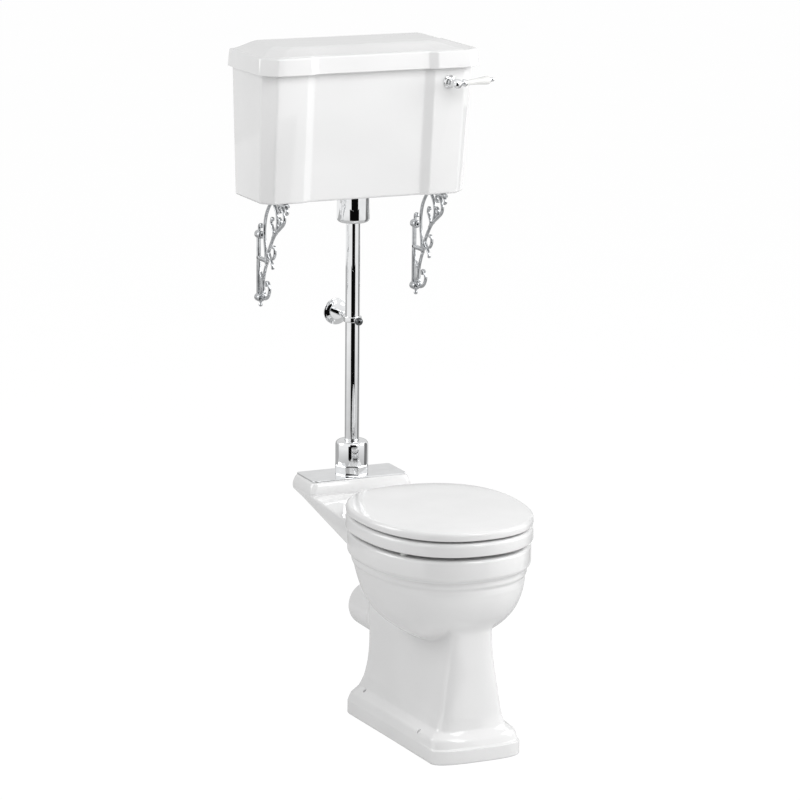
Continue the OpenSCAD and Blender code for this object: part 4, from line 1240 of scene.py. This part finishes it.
@dataclass
class FlushPipe:
    """Chromed pipe from cistern to pan with its plate, nut, bell, cup and wall clip."""

    pipe_r: float = 16.0
    bore_r: float = 14.5
    hole_r: float = 16.3
    cup_r: float = 36.5
    nut_z: float = 470.0
    bell_z: float = 491.0
    cup_top: float = 1096.0
    clip_z: float = 819.0
    nut_r: float = 39.5
    nut_h: float = 21.0
    nut_sides: int = 8

    def plate(self) -> Shell:
        """Cover plate: a rounded sheet whose outline closes in to the pipe's hole, as rings of one skin.

        Returns:
            The Shell.
        """
        a = np.linspace(0, 2 * math.pi, 240, endpoint=False)
        sizes = []
        for inset, z in ((0.5, 467), (0, 467.4), (0, 468.8), (0.35, 469.6), (1.2, 470), (1.6, 470)):
            shape = plate_outline(227 - 2 * inset, 100 - 2 * inset, 8 - inset, PIPE_Y, 8)
            sizes.append((reach(shape, (0, PIPE_Y), a), z))
        sizes += [(np.full(len(a), self.hole_r), z) for z in (470, 467)]
        rings = [np.column_stack([r * np.cos(a), PIPE_Y + r * np.sin(a), np.full(len(a), z)]) for r, z in sizes]
        return skin(np.stack(rings), loop=True)

    def nut(self) -> Shell:
        """Eight-sided nut with eased edges round the pipe.

        Returns:
            The Shell.
        """
        a = np.arange(self.nut_sides) * 2 * math.pi / self.nut_sides
        rings = []
        top = self.nut_h
        for inset, z in ((3.2, 0), (1.0, 0.4), (0, 1.8), (0, top - 2), (1.0, top - 0.4), (3.2, top)):
            r = self.nut_r - inset
            shape = rounded(np.column_stack([r * np.cos(a), r * np.sin(a)]), 2.2)
            rings.append(np.column_stack([shape, np.full(len(shape), z)]))
        turn = np.arctan2(rings[0][:, 1], rings[0][:, 0])
        hole = [self.hole_r * np.cos(turn), self.hole_r * np.sin(turn)]
        rings += [np.column_stack([*hole, np.full(len(turn), z)]) for z in (top, 0.0)]
        return upright(skin(np.stack(rings), loop=True), self.nut_z)

    def bell(self) -> Shell:
        """Bell on the nut: a straight wall, a wide rounded shoulder and a neck on the pipe.

        Returns:
            The Shell.
        """
        r = self.cup_r
        wall = [[r, 0], [r, 54], [self.hole_r, 54], [self.hole_r, 51], [r - 3, 51], [r - 3, 0]]
        return upright(tube(wall, [0.8, 12, 0.4, 0.4, 9, 0.8], 96), self.bell_z)

    def cup(self) -> Shell:
        """Cup under the cistern, rounded where it closes on the pipe.

        Returns:
            The Shell.
        """
        r = self.cup_r
        wall = [[r, 0], [r, -60], [self.hole_r, -60], [self.hole_r, -57], [r - 3, -57], [r - 3, 0]]
        return upright(tube(wall, [0.8, 10, 0.4, 0.4, 7, 0.8], 96), self.cup_top)

    def clip(self) -> None:
        """Builds the wall clip: stepped flange, arm, ring with its lug, and ball finial."""
        z = self.clip_z
        flange = [[AXIS, 0], [30, 0], [30, 2.6], [24, 3.4], [18, 6], [AXIS, 6]]
        flange = lathe(flange, [0, 0.4, 0.9, 1.5, 1.5, 0]).moved(axes_to(TOWARDS_FRONT), (0, WALL_Y, z))
        piece("clip_wall_flange", flange, Slot.CHROME, Body.FIXED, ["clip_flange"])
        dress(Slot.CHROME, "clip_arm")
        band = tube([[self.hole_r, -6], [20.5, -6], [20.5, 6], [self.hole_r, 6]], [0.6, 1.6, 1.6, 0.6])
        ear = lathe([[AXIS, 0], [5, 0], [5, 7], [AXIS, 7]], [0, 0.6, 1.0, 0])
        ear = ear.moved(axes_to(TOWARDS_FRONT), (0, PIPE_Y - 18.5, z))
        piece("clip_band", joined([upright(band, z), ear]), Slot.CHROME, Body.FIXED, ["clip_ring"])
        end_y = PIPE_Y - 25.5
        a = np.linspace(-1.25, math.pi / 2 - 0.02, 26)
        ball = np.column_stack([9 * np.cos(a), 9 + 9 * np.sin(a)])
        ball = np.concatenate([[[AXIS, -3.9], [4.6, -3.9], [5, -3.5], [4.4, -1.4], [3.2, 0.1]], ball])
        ball = turned(ball).moved(axes_to(TOWARDS_FRONT), (0, end_y, z))
        # the finial's dark colour is a painted reflection of the dark side of the room
        piece("clip_ball", ball, Slot.CHROME, Body.FIXED, ["clip_finial"], look=Look.PAINTED_DARK)

    def make(self) -> None:
        """Builds the pipe and all that sits on it."""
        pipe = tube([[self.bore_r, 428], [self.pipe_r, 428], [self.pipe_r, 1075], [self.bore_r, 1075]], 0.3, 96)
        piece("chromed_pipe", upright(pipe, 0), Slot.CHROME, Body.FIXED, ["flush_pipe"])
        piece("pan_cover_plate", self.plate(), Slot.CHROME, Body.FIXED, ["cover_plate"], crease=25)
        piece("faceted_nut", self.nut(), Slot.CHROME, Body.FIXED, ["base_nut"], crease=8)
        piece("pipe_bell", self.bell(), Slot.CHROME, Body.FIXED, ["bell_cover"])
        piece("pipe_cup", self.cup(), Slot.CHROME, Body.FIXED, ["outlet_cup"])
        dress(Slot.RUBBER, "cone_seal")
        self.clip()


# ---------------------------------------------------------------- cistern


@dataclass
class Cistern:
    """China cistern body and its loose lid, with the sunk front panel between two blocks."""

    top_half: float = 248.5
    bottom_half: float = 241.5
    top_deep: float = 193.0
    bottom_deep: float = 164.0
    high: float = 291.0
    wall: float = 10.0
    sunk: float = 9.0
    panel_half: float = 149.0
    slope: float = 19.0
    lid_half: float = 260.0
    lid_deep: float = 211.0
    lid_low: float = 1381.0
    lid_edge: float = 1419.0
    lid_rise: float = 15.0
    lid_chamfer: float = 30.0
    low_chamfer: float = 23.0
    top_chamfer: float = 27.0
    rose_at: tuple[float, float] = (184.0, 1349.0)
    pipe_hole_r: float = 22.5
    valve_hole_r: float = 13.0
    lever_hole_r: float = 9.3
    screw_hole_r: float = 5.0
    cuts: tuple = (3, 5, 5, 3.5, 3.5, 3.5, 3.5, 5, 5, 3)
    # inset and height of the levels of the lid's hollow, from its ceiling down the skirt
    lid_hollow: tuple = ((50, 1408), (15, 1408), (14, 1407), (14, 1388.5), (-1.5, 1388.4), (-1.5, 1382), (-2.2, 1381))

    def plan(self, half: float, deep: float, chamfer: float, sunk: float, by: float = 0.0) -> np.ndarray:
        """Outline seen from above, with the sunk panel in front and its corners rounded.

        Args:
            half: half width.
            deep: depth from the wall.
            chamfer: length of the front corners' chamfers.
            sunk: depth of the front panel.
            by: distance that the whole outline is moved in.

        Returns:
            Array of points.
        """
        front, side, back = WALL_Y - deep + by, half - by, WALL_Y - by
        right = [[self.panel_half - self.slope, front + sunk], [self.panel_half, front], [side - chamfer, front],
                 [side, front + chamfer], [side, back]]
        left = [[-x, y] for x, y in right[::-1]]
        return rounded(left + right, self.cuts)

    def body(self) -> Shell:
        """Open tapered box: up the outside, over the top edge and down the inside to its floor.

        Returns:
            The Shell.
        """
        low, top = CISTERN_Z, CISTERN_Z + self.high
        corners = [[40, low], [0, low], [0, top], [self.wall, top], [self.wall, low + self.wall], [46, low + self.wall]]
        rows = rounded(corners, [0, 6, 1.5, 1.5, 9, 0], closed=False, steps=8)
        outlines = []
        for inset, z in rows:
            s = (z - low) / self.high
            half, deep = blend(self.bottom_half, self.top_half, s), blend(self.bottom_deep, self.top_deep, s)
            outlines.append(self.plan(half, deep, blend(self.low_chamfer, self.top_chamfer, s), self.sunk, inset))
        return stacked(outlines, rows[:, 1])

    def lid(self) -> Shell:
        """Lid: from the ceiling of its hollow down the skirt, up the outside and over the raised middle.

        Over the flat edge the inset grows while the sunk panel fades out, and the height
        rises by a blend of a straight slope and a smooth step.

        Returns:
            The Shell.
        """
        outlines, heights = [], []
        for by, z in self.lid_hollow:
            outlines.append(self.plan(self.top_half, self.top_deep, self.top_chamfer, self.sunk, by))
            heights.append(z)
        low, top = self.lid_low, self.lid_edge
        edge = rounded([[6, low], [0, low], [4.2, top], [13, top + 0.3]], [0, 2, 6.5, 0], closed=False, steps=8)
        for i, z in edge:
            outlines.append(self.plan(self.lid_half - i, self.lid_deep - i, self.lid_chamfer, self.sunk))
            heights.append(z)
        for s in np.linspace(0, 1, 16)[1:]:
            fade = ease(s * 1.6)
            i = 13 + 55 * s
            deep = self.lid_deep - i + 4 - (self.sunk + 4) * fade
            outlines.append(self.plan(self.lid_half - i, deep, self.lid_chamfer, self.sunk * (1 - fade)))
            heights.append(top + 0.3 + (self.lid_rise - 0.3) * (0.45 * s + 0.55 * ease(s)))
        return stacked(outlines, heights)

    def make(self) -> None:
        """Builds body and lid and dresses the works inside."""
        x, z = self.rose_at
        places = ((0, PIPE_Y, self.pipe_hole_r), (-150, 493, self.valve_hole_r))
        holes = [bar((a, b, 1080), (a, b, 1120), r) for a, b, r in places]
        holes.append(bar((x, 320, z), (x, 375, z), self.lever_hole_r))
        holes += [bar((s * 150, 515, 1332), (s * 150, 545, 1332), self.screw_hole_r) for s in (-1, 1)]
        body = carve("china_cistern", self.body(), cuts=holes)
        piece("china_cistern", body, Slot.CHINA, Body.FIXED, ["cistern_body"])
        piece("china_lid", self.lid(), Slot.CHINA, Body.LID, ["cistern_lid"])
        dress(Slot.WORKS, "siphon_body", "siphon_backnut", "plunger_disc")
        dress(Slot.WORKS, "float_valve", "float_valve_nut", "float_ball")
        dress(Slot.RUBBER, "siphon_washer", "plunger_flap", "float_valve_washer")
        dress(Slot.BRASS, "float_arm", "lever_inner_arm", "lever_locknut")
        dress(Slot.CHROME, "lift_rod", "float_valve_pin")


# ---------------------------------------------------------------- flush lever


@dataclass
class Lever:
    """Side lever: rose on the cistern, spindle with two collars, hub, ferrule, china grip and tip."""

    x: float = 184.0
    z: float = 1349.0
    face_y: float = 345.887
    hub_y: float = 305.887
    tilt: float = 4.0
    face_slope: float = 5.6908
    shaft_end: float = 452.0
    ball_r: float = 11.0

    def along_grip(self, profile: Line, cuts: Cuts, start: float) -> Shell:
        """Turned shape on the handle's axis.

        Args:
            profile: its outline beside the axis.
            cuts: the length cut off each corner.
            start: distance out from the hub.

        Returns:
            The Shell.
        """
        a = math.radians(self.tilt)
        axis = np.array([math.cos(a), 0, math.sin(a)])
        return lathe(profile, cuts).moved(axes_to(axis), np.array([self.x, self.hub_y, self.z]) + start * axis)

    def make(self) -> None:
        """Builds the lever's pieces."""
        x, z = self.x, self.z
        a = math.radians(self.face_slope)
        rose = lathe([[5.1, 0], [15, 0], [15, 2.6], [12.5, 4.4], [10, 7], [5.1, 7]], [0, 0.4, 1.0, 1.5, 1.2, 0])
        sleeve = tube([[5.1, 0], [9, 0], [9, 18], [5.1, 18]], 0.4).moved(axes_to(TOWARDS_WALL), (x, self.face_y, z))
        rose = rose.moved(axes_to((0, -math.cos(a), -math.sin(a))), (x, self.face_y, z))
        piece("lever_wall_rose", joined([rose, sleeve]), Slot.CHROME, Body.FIXED, ["lever_rose"])
        start = self.hub_y + 9
        end, collar, rest = self.shaft_end - start, self.face_y - 14 - start, self.face_y - 9 - start
        shaft = [[AXIS, 0], [8.5, 0], [8.5, 8], [5, 8], [5, collar], [8.5, collar], [8.5, rest], [5, rest], [5, end],
                 [AXIS, end]]
        shaft = lathe(shaft, [0, 1, 1.6, 0.8, 0.6, 1.4, 1.4, 0.5, 0.6, 0])
        shaft = shaft.moved(axes_to(TOWARDS_WALL), (x, start, z))
        piece("lever_shaft", shaft, Slot.CHROME, Body.LEVER, ["lever_spindle"])
        b = np.linspace(-math.pi / 2 + 0.02, math.pi / 2 - 0.02, 40)
        ball = turned(np.column_stack([self.ball_r * np.cos(b), self.ball_r * np.sin(b)]))
        ball = ball.moved(axes_to(TOWARDS_WALL), (x, self.hub_y, z))
        neck = self.along_grip([[AXIS, 6], [6.2, 9], [5, 11], [5, 13], [AXIS, 13]], [0, 1.2, 1.0, 0.2, 0], 0)
        piece("lever_knuckle", joined([ball, neck]), Slot.CHROME, Body.LEVER, ["lever_hub"])
        ferrule = [[AXIS, 0], [6, 0], [8.5, 1.8], [8.5, 5], [6.6, 9], [AXIS, 9]]
        ferrule = self.along_grip(ferrule, [0, 0.6, 1.2, 1.4, 0.6, 0], 13)
        piece("lever_collar", ferrule, Slot.CHROME, Body.LEVER, ["lever_ferrule"])
        grip = [[5.6, 0], [6.2, 6], [6.4, 14], [7.0, 24], [8.1, 34], [9.1, 43], [9.5, 49], [8.8, 53.4], [6, 56]]
        grip = np.concatenate([[[AXIS, 0]], smooth_path(grip, 6), [[AXIS, 56]]])
        piece("lever_china_grip", self.along_grip(grip, 0.05, 22), Slot.HANDLE, Body.LEVER, ["lever_grip"])
        tip = [[AXIS, 0], [6, 0], [6, 2], [3.5, 3.4], [5, 6], [4.8, 8.5], [3, 10.6], [AXIS, 11]]
        tip = self.along_grip(tip, [0, 0.5, 0.8, 0.9, 1.2, 1.0, 1.2, 0], 78)
        piece("lever_end_knob", tip, Slot.CHROME, Body.LEVER, ["lever_tip"])


# ---------------------------------------------------------------- brackets


@dataclass
class Bracket:
    """Cast scroll bracket: one upright bar with two bosses, a shelf, and curled straps between."""

    name: str
    node: str
    x: float
    thick: float = 8.0
    strap: float = 6.0
    high: float = 235.0
    scrolls: tuple = (
        ((8, -84), (10, -70), (19, -66), (22, -74)),
        ((50, -150), (44, -117), (38, -82), (46, -45), (66, -18), (85, -8), (100, -16), (111, -33), (112, -54),
         (102, -76)),
        ((50, -152), (60, -125), (78, -98), (99, -76), (128, -58), (146, -46), (152, -32), (144, -16), (132, -6)),
        ((132, -6), (120, -12), (124, -22), (132, -20)),
        ((150, -5), (164, -10), (168, -18), (160, -22)),
        ((84, -88), (92, -76), (86, -64), (78, -54), (82, -42), (90, -46)),
        ((113, -40), (124, -36), (132, -44), (126, -54), (118, -50)),
        ((62, -122), (76, -134), (90, -130), (98, -118), (94, -104), (86, -108)),
        ((58, -136), (74, -138), (84, -146), (86, -156)),
        ((6, -140), (14, -170), (26, -188), (26, -210), (18, -228)),
        ((50, -150), (40, -168), (32, -190), (34, -212), (40, -224), (26, -230)),
        ((24, -230), (44, -229), (60, -220), (68, -204), (60, -190), (50, -190), (52, -200)),
    )

    @property
    def top(self) -> float:
        """Height of the shelf's top, just under the cistern."""
        return CISTERN_Z - 0.3

    def place(self, out: np.ndarray, down: np.ndarray, across: np.ndarray) -> np.ndarray:
        """Points in the room, from the wall outwards, down from the shelf and across the thickness."""
        return np.stack(np.broadcast_arrays(self.x + across, WALL_Y - out, self.top + down), -1)

    def curl(self, knots: Line, wide: float) -> Shell:
        """Strap swept along a smooth curve through its knots.

        The section is made of powered waves of power 3. The width swells near each end and
        closes there like a ball, as the square root of 1 - (1 - d)^2 over its last half width.

        Args:
            knots: points out from the wall and down from the shelf.
            wide: the strap's width.

        Returns:
            The Shell.
        """
        path = smooth_path(knots, 24)
        run = np.concatenate([[0], np.cumsum(np.linalg.norm(np.diff(path, axis=0), axis=1))])
        total = run[-1]
        half = 0.5 * wide
        tips = half * (1 - np.cos(np.linspace(0.05, 1, 7) * math.pi / 2))
        inner = np.linspace(half, total - half, max(int(total / 1.6), 6))[1:-1]
        s = np.concatenate([tips, inner, total - tips[::-1]])
        px, py = np.interp(s, run, path[:, 0]), np.interp(s, run, path[:, 1])
        tx, ty = np.gradient(px, s), np.gradient(py, s)
        norm = np.hypot(tx, ty)
        nx, ny = -ty / norm, tx / norm
        left = np.minimum(s, total - s)
        close = np.sqrt(np.clip(1 - (1 - np.minimum(left / half, 1)) ** 2, 0, 1))
        size = close * (1 + 0.35 * np.exp(-(((left - 0.6 * wide) / (0.7 * wide)) ** 2)))
        a = np.linspace(0, 2 * math.pi, 16, endpoint=False) + math.pi / 16
        reach_out = (size * wide / 2)[:, None] * powered(np.cos(a), STRAP_POWER)[None]
        across = (close * (self.thick - 1) / 2)[:, None] * powered(np.sin(a), STRAP_POWER)[None]
        out, down = px[:, None] + nx[:, None] * reach_out, py[:, None] + ny[:, None] * reach_out
        return skin(self.place(out, down, across))

    def make(self) -> None:
        """Builds the whole bracket as one casting."""
        x, t, top = self.x, self.thick, self.top
        # the two long curls are the widest
        widths = [self.strap if n in (1, 2) else self.strap - 1 for n in range(len(self.scrolls))]
        shells = [self.curl(knots, wide) for knots, wide in zip(self.scrolls, widths)]
        shells.append(block((x - t / 2, WALL_Y - 9, top - self.high), (x + t / 2, WALL_Y, top - 88), 1.8))
        shells.append(block((x - t / 2 - 2, WALL_Y - 168, top - 7), (x + t / 2 + 2, WALL_Y, top), 1.6))
        shells.append(block((x - t / 2, WALL_Y - 52, top - 147), (x + t / 2, WALL_Y, top - 138), 2.0))
        boss = tube([[2.5, 0], [9, 0], [9, 19], [6.5, 22], [2.5, 22]], [0.3, 0.5, 1.6, 1.6, 0.6])
        shells += [boss.moved(axes_to(TOWARDS_FRONT), (x, WALL_Y, top - h)) for h in (90, self.high - 4)]
        b = np.linspace(-math.pi / 2 + 0.02, 1.0, 22)
        drop = np.column_stack([4.5 * np.cos(b), 4.5 * np.sin(b)])
        drop = np.concatenate([drop, [[2.2, 5.0], [2.5, 8.5], [AXIS, 9]]])
        shells.append(turned(drop).moved(np.eye(3), (x, WALL_Y - 16, top - self.high + 4 - 15)))
        piece(self.name, joined(shells), Slot.CHROME, Body.FIXED, [self.node], crease=40, look=Look.CAST)


# ---------------------------------------------------------------- camera, floor and lights


@dataclass
class Studio:
    """Camera fitted to the object, pale floor, white room and soft lamps."""

    turn: float = 24.47
    dip: float = 12.72
    roll: float = 0.51
    focal_px: float = 3689.19
    frame_px: float = 800.0
    stand: tuple[float, float, float] = (-3.21132, -6.87029, 2.43858)
    sensor_mm: float = 36.0
    floor_half: float = 14.0
    floor_cloud_mm: float = 400.0
    # share of the floor's own glow where the camera or a mirror sees it
    floor_glow: float = 0.93
    # painted shade: in mirrors the floor's glow goes from this tone at the first distance to white at the second
    mirror_shade: float = 0.55
    mirror_from: float = 1.0
    mirror_to: float = 4.0
    floor_white: float = 1.04

    def stood(self, obj: bpy.types.Object, turn: np.ndarray, at: Vec) -> None:
        """Turns a camera or lamp, puts it at its place and links it to the scene."""
        obj.matrix_world = Matrix([[*row, c] for row, c in zip(turn.tolist(), at)] + [[0, 0, 0, 1]])
        bpy.context.scene.collection.objects.link(obj)

    def camera(self) -> None:
        """Makes the camera: forward from turn and dip, right and up turned by the roll."""
        a, p, r = (math.radians(v) for v in (self.turn, self.dip, self.roll))
        ahead = np.array([math.sin(a) * math.cos(p), math.cos(a) * math.cos(p), -math.sin(p)])
        right = np.array([math.cos(a), -math.sin(a), 0.0])
        up = np.cross(right, ahead)
        right, up = right * math.cos(r) + up * math.sin(r), up * math.cos(r) - right * math.sin(r)
        data = bpy.data.cameras.new("camera")
        data.sensor_width, data.lens = self.sensor_mm, self.focal_px / self.frame_px * self.sensor_mm
        data.clip_start, data.clip_end = 0.1, 100.0
        obj = bpy.data.objects.new("camera", data)
        self.stood(obj, np.stack([right, up, -ahead], 1), self.stand)
        bpy.context.scene.camera = obj

    def lamp(self, name: str, at: Vec, aim: Vec, size: tuple[float, float], watts: float) -> None:
        """Adds a rectangular area lamp that looks from one point to another.

        Args:
            name: name of the lamp.
            at: its place in metres.
            aim: the point that it looks at.
            size: its width and height.
            watts: its power.
        """
        data = bpy.data.lights.new(name, "AREA")
        data.shape, data.size, data.size_y, data.energy = "RECTANGLE", size[0], size[1], watts
        self.stood(bpy.data.objects.new(name, data), axes_to(np.subtract(at, aim)), at)

    def sheet(self, name: str, corners: Line, material: bpy.types.Material) -> bpy.types.Object:
        """Puts a flat sheet of the studio in the scene.

        Args:
            name: name of the sheet.
            corners: its four corners in metres.
            material: its material.

        Returns:
            The object.
        """
        mesh = bpy.data.meshes.new(name)
        mesh.from_pydata([tuple(float(v) for v in q) for q in corners], [], [(0, 1, 2, 3)])
        mesh.materials.append(material)
        obj = put(name, mesh)
        return obj

    def card(self, name: str, turn: float, away: float, low: float, high: float, wide: float, colour: str) -> None:
        """Stands an upright glowing card that faces the pipe and is seen only in reflections: a painted reflection of a
        darker part of the room.

        Args:
            name: name of the card.
            turn: degrees round the pipe from straight ahead, to the right.
            away: distance from the pipe in metres.
            low: height of its lower edge.
            high: height of its upper edge.
            wide: its width.
            colour: sRGB hex value of what it sends back.
        """
        a = math.radians(turn)
        c = np.array([away * math.sin(a), PIPE_Y * MM - away * math.cos(a)])
        side = np.array([math.cos(a), math.sin(a)]) * wide / 2
        points = [(*(c + k * side), z) for k, z in ((-1, low), (1, low), (1, high), (-1, high))]
        material, tree, _ = begin(name + "_board")
        board = add(tree, "ShaderNodeEmission", {"Color": linear(colour), "Strength": 1.0})
        add(tree, "ShaderNodeOutputMaterial", {"Surface": board})
        obj = self.sheet(name, points, material)
        obj.visible_camera = obj.visible_diffuse = obj.visible_shadow = obj.visible_transmission = False

    def floor(self) -> None:
        """Lays a pale floor that shows white to the camera but keeps some of the shadow.

        In mirrored surfaces its glow is painted shade: light grey close by and going to white farther out, as a floor
        lit by soft boxes is.
        """
        material, tree, at = begin("pale_studio_floor")
        cloud = add(tree, "ShaderNodeTexNoise", {"Vector": at, "Scale": 1 / MM / self.floor_cloud_mm, "Detail": 2})
        stops = [(LOW_STOP, "#E2E2E2"), (HIGH_STOP, "#E8E8E8")]
        tone = add(tree, "ShaderNodeValToRGB", {"Fac": cloud}, stops)
        paint = add(tree, "ShaderNodeBsdfDiffuse", {"Color": tone})
        path = add(tree, "ShaderNodeLightPath")
        camera, glossy = path.outputs["Is Camera Ray"], path.outputs["Is Glossy Ray"]
        away = add(tree, "ShaderNodeVectorMath", {0: at}, operation="LENGTH").outputs["Value"]
        # painted shade on the floor's glow, darker close to the object in mirrors
        grey = add(tree, "ShaderNodeMapRange", {
            "Value": away, "From Min": self.mirror_from, "From Max": self.mirror_to,
            "To Min": self.mirror_shade, "To Max": 1.0})
        level = add(tree, "ShaderNodeMapRange", {"Value": camera, "To Min": grey, "To Max": self.floor_white})
        glow = add(tree, "ShaderNodeEmission", {"Color": (1, 1, 1, 1), "Strength": level})
        seen = add(tree, "ShaderNodeMath", {0: camera, 1: glossy}, operation="MAXIMUM")
        share = add(tree, "ShaderNodeMath", {0: seen, 1: self.floor_glow}, operation="MULTIPLY")
        mixed = add(tree, "ShaderNodeMixShader", {0: share, 1: paint, 2: glow})
        add(tree, "ShaderNodeOutputMaterial", {"Surface": mixed})
        half = self.floor_half
        self.sheet("floor", [(-half, -half, 0), (half, -half, 0), (half, half, 0), (-half, half, 0)], material)

    def room(self, level: float) -> None:
        """Makes the world white where it is seen or mirrored, and a soft grey light elsewhere.

        Args:
            level: strength of the soft light.
        """
        world = bpy.data.worlds.new("white_room")
        bpy.context.scene.world = world
        world.use_nodes = True
        tree = world.node_tree
        tree.nodes.clear()
        path = add(tree, "ShaderNodeLightPath")
        camera, glossy = path.outputs["Is Camera Ray"], path.outputs["Is Glossy Ray"]
        seen = add(tree, "ShaderNodeMath", {0: camera, 1: glossy}, operation="MAXIMUM")
        through = {0: seen, 1: path.outputs["Is Transmission Ray"]}
        seen = add(tree, "ShaderNodeMath", through, operation="MAXIMUM")
        soft = add(tree, "ShaderNodeBackground", {"Color": (1, 1, 1, 1), "Strength": level})
        white = add(tree, "ShaderNodeBackground", {"Color": (1, 1, 1, 1), "Strength": 1.0})
        mixed = add(tree, "ShaderNodeMixShader", {0: seen, 1: soft, 2: white})
        add(tree, "ShaderNodeOutputWorld", {"Surface": mixed})

    def make(self) -> None:
        """Sets up camera, floor, room, lamps and cards."""
        self.camera()
        self.floor()
        self.room(0.45)
        self.lamp("right_box", (3.0, -1.0, 2.36), (0, 0.15, 0.8), (1.8, 2.0), 61)
        self.lamp("left_back_box", (-2.77, 1.7, 2.36), (0, 0.15, 0.8), (1.8, 2.0), 39)
        self.lamp("top_front_box", (0.2, -2.2, 2.9), (0, 0.1, 0.7), (2.2, 1.8), 41)
        # painted reflections: glowing dark and grey cards that only mirrors see
        self.card("dark_front_card", -14.5, 1.5, 0.0, 0.77, 1.9, "#0C0C0C")
        self.card("dark_upper_card", -12.5, 1.5, 0.77, 2.4, 1.29, "#0C0C0C")
        self.card("dark_right_strip", 92.0, 1.2, 0.0, 1.1, 0.8, "#7C7C7C")
        self.card("grey_back_card", 180.0, 1.2, 0.0, 0.74, 3.2, "#B4B4B4")
        self.card("grey_high_card", 180.0, 2.6, 0.75, 6.0, 9.0, "#E3E3E3")
        bpy.context.scene.view_settings.view_transform = "Standard"


def main() -> None:
    """Builds every sub-assembly in order, then the studio."""
    logging.basicConfig(level=logging.INFO, format="%(name)s: %(message)s")
    Pan().make()
    Seat().make()
    FlushPipe().make()
    Cistern().make()
    Lever().make()
    Bracket("scroll_bracket_left", "bracket_left", -188.0).make()
    Bracket("scroll_bracket_right", "bracket_right", 188.0).make()
    Studio().make()


if __name__ == "__main__":
    main()
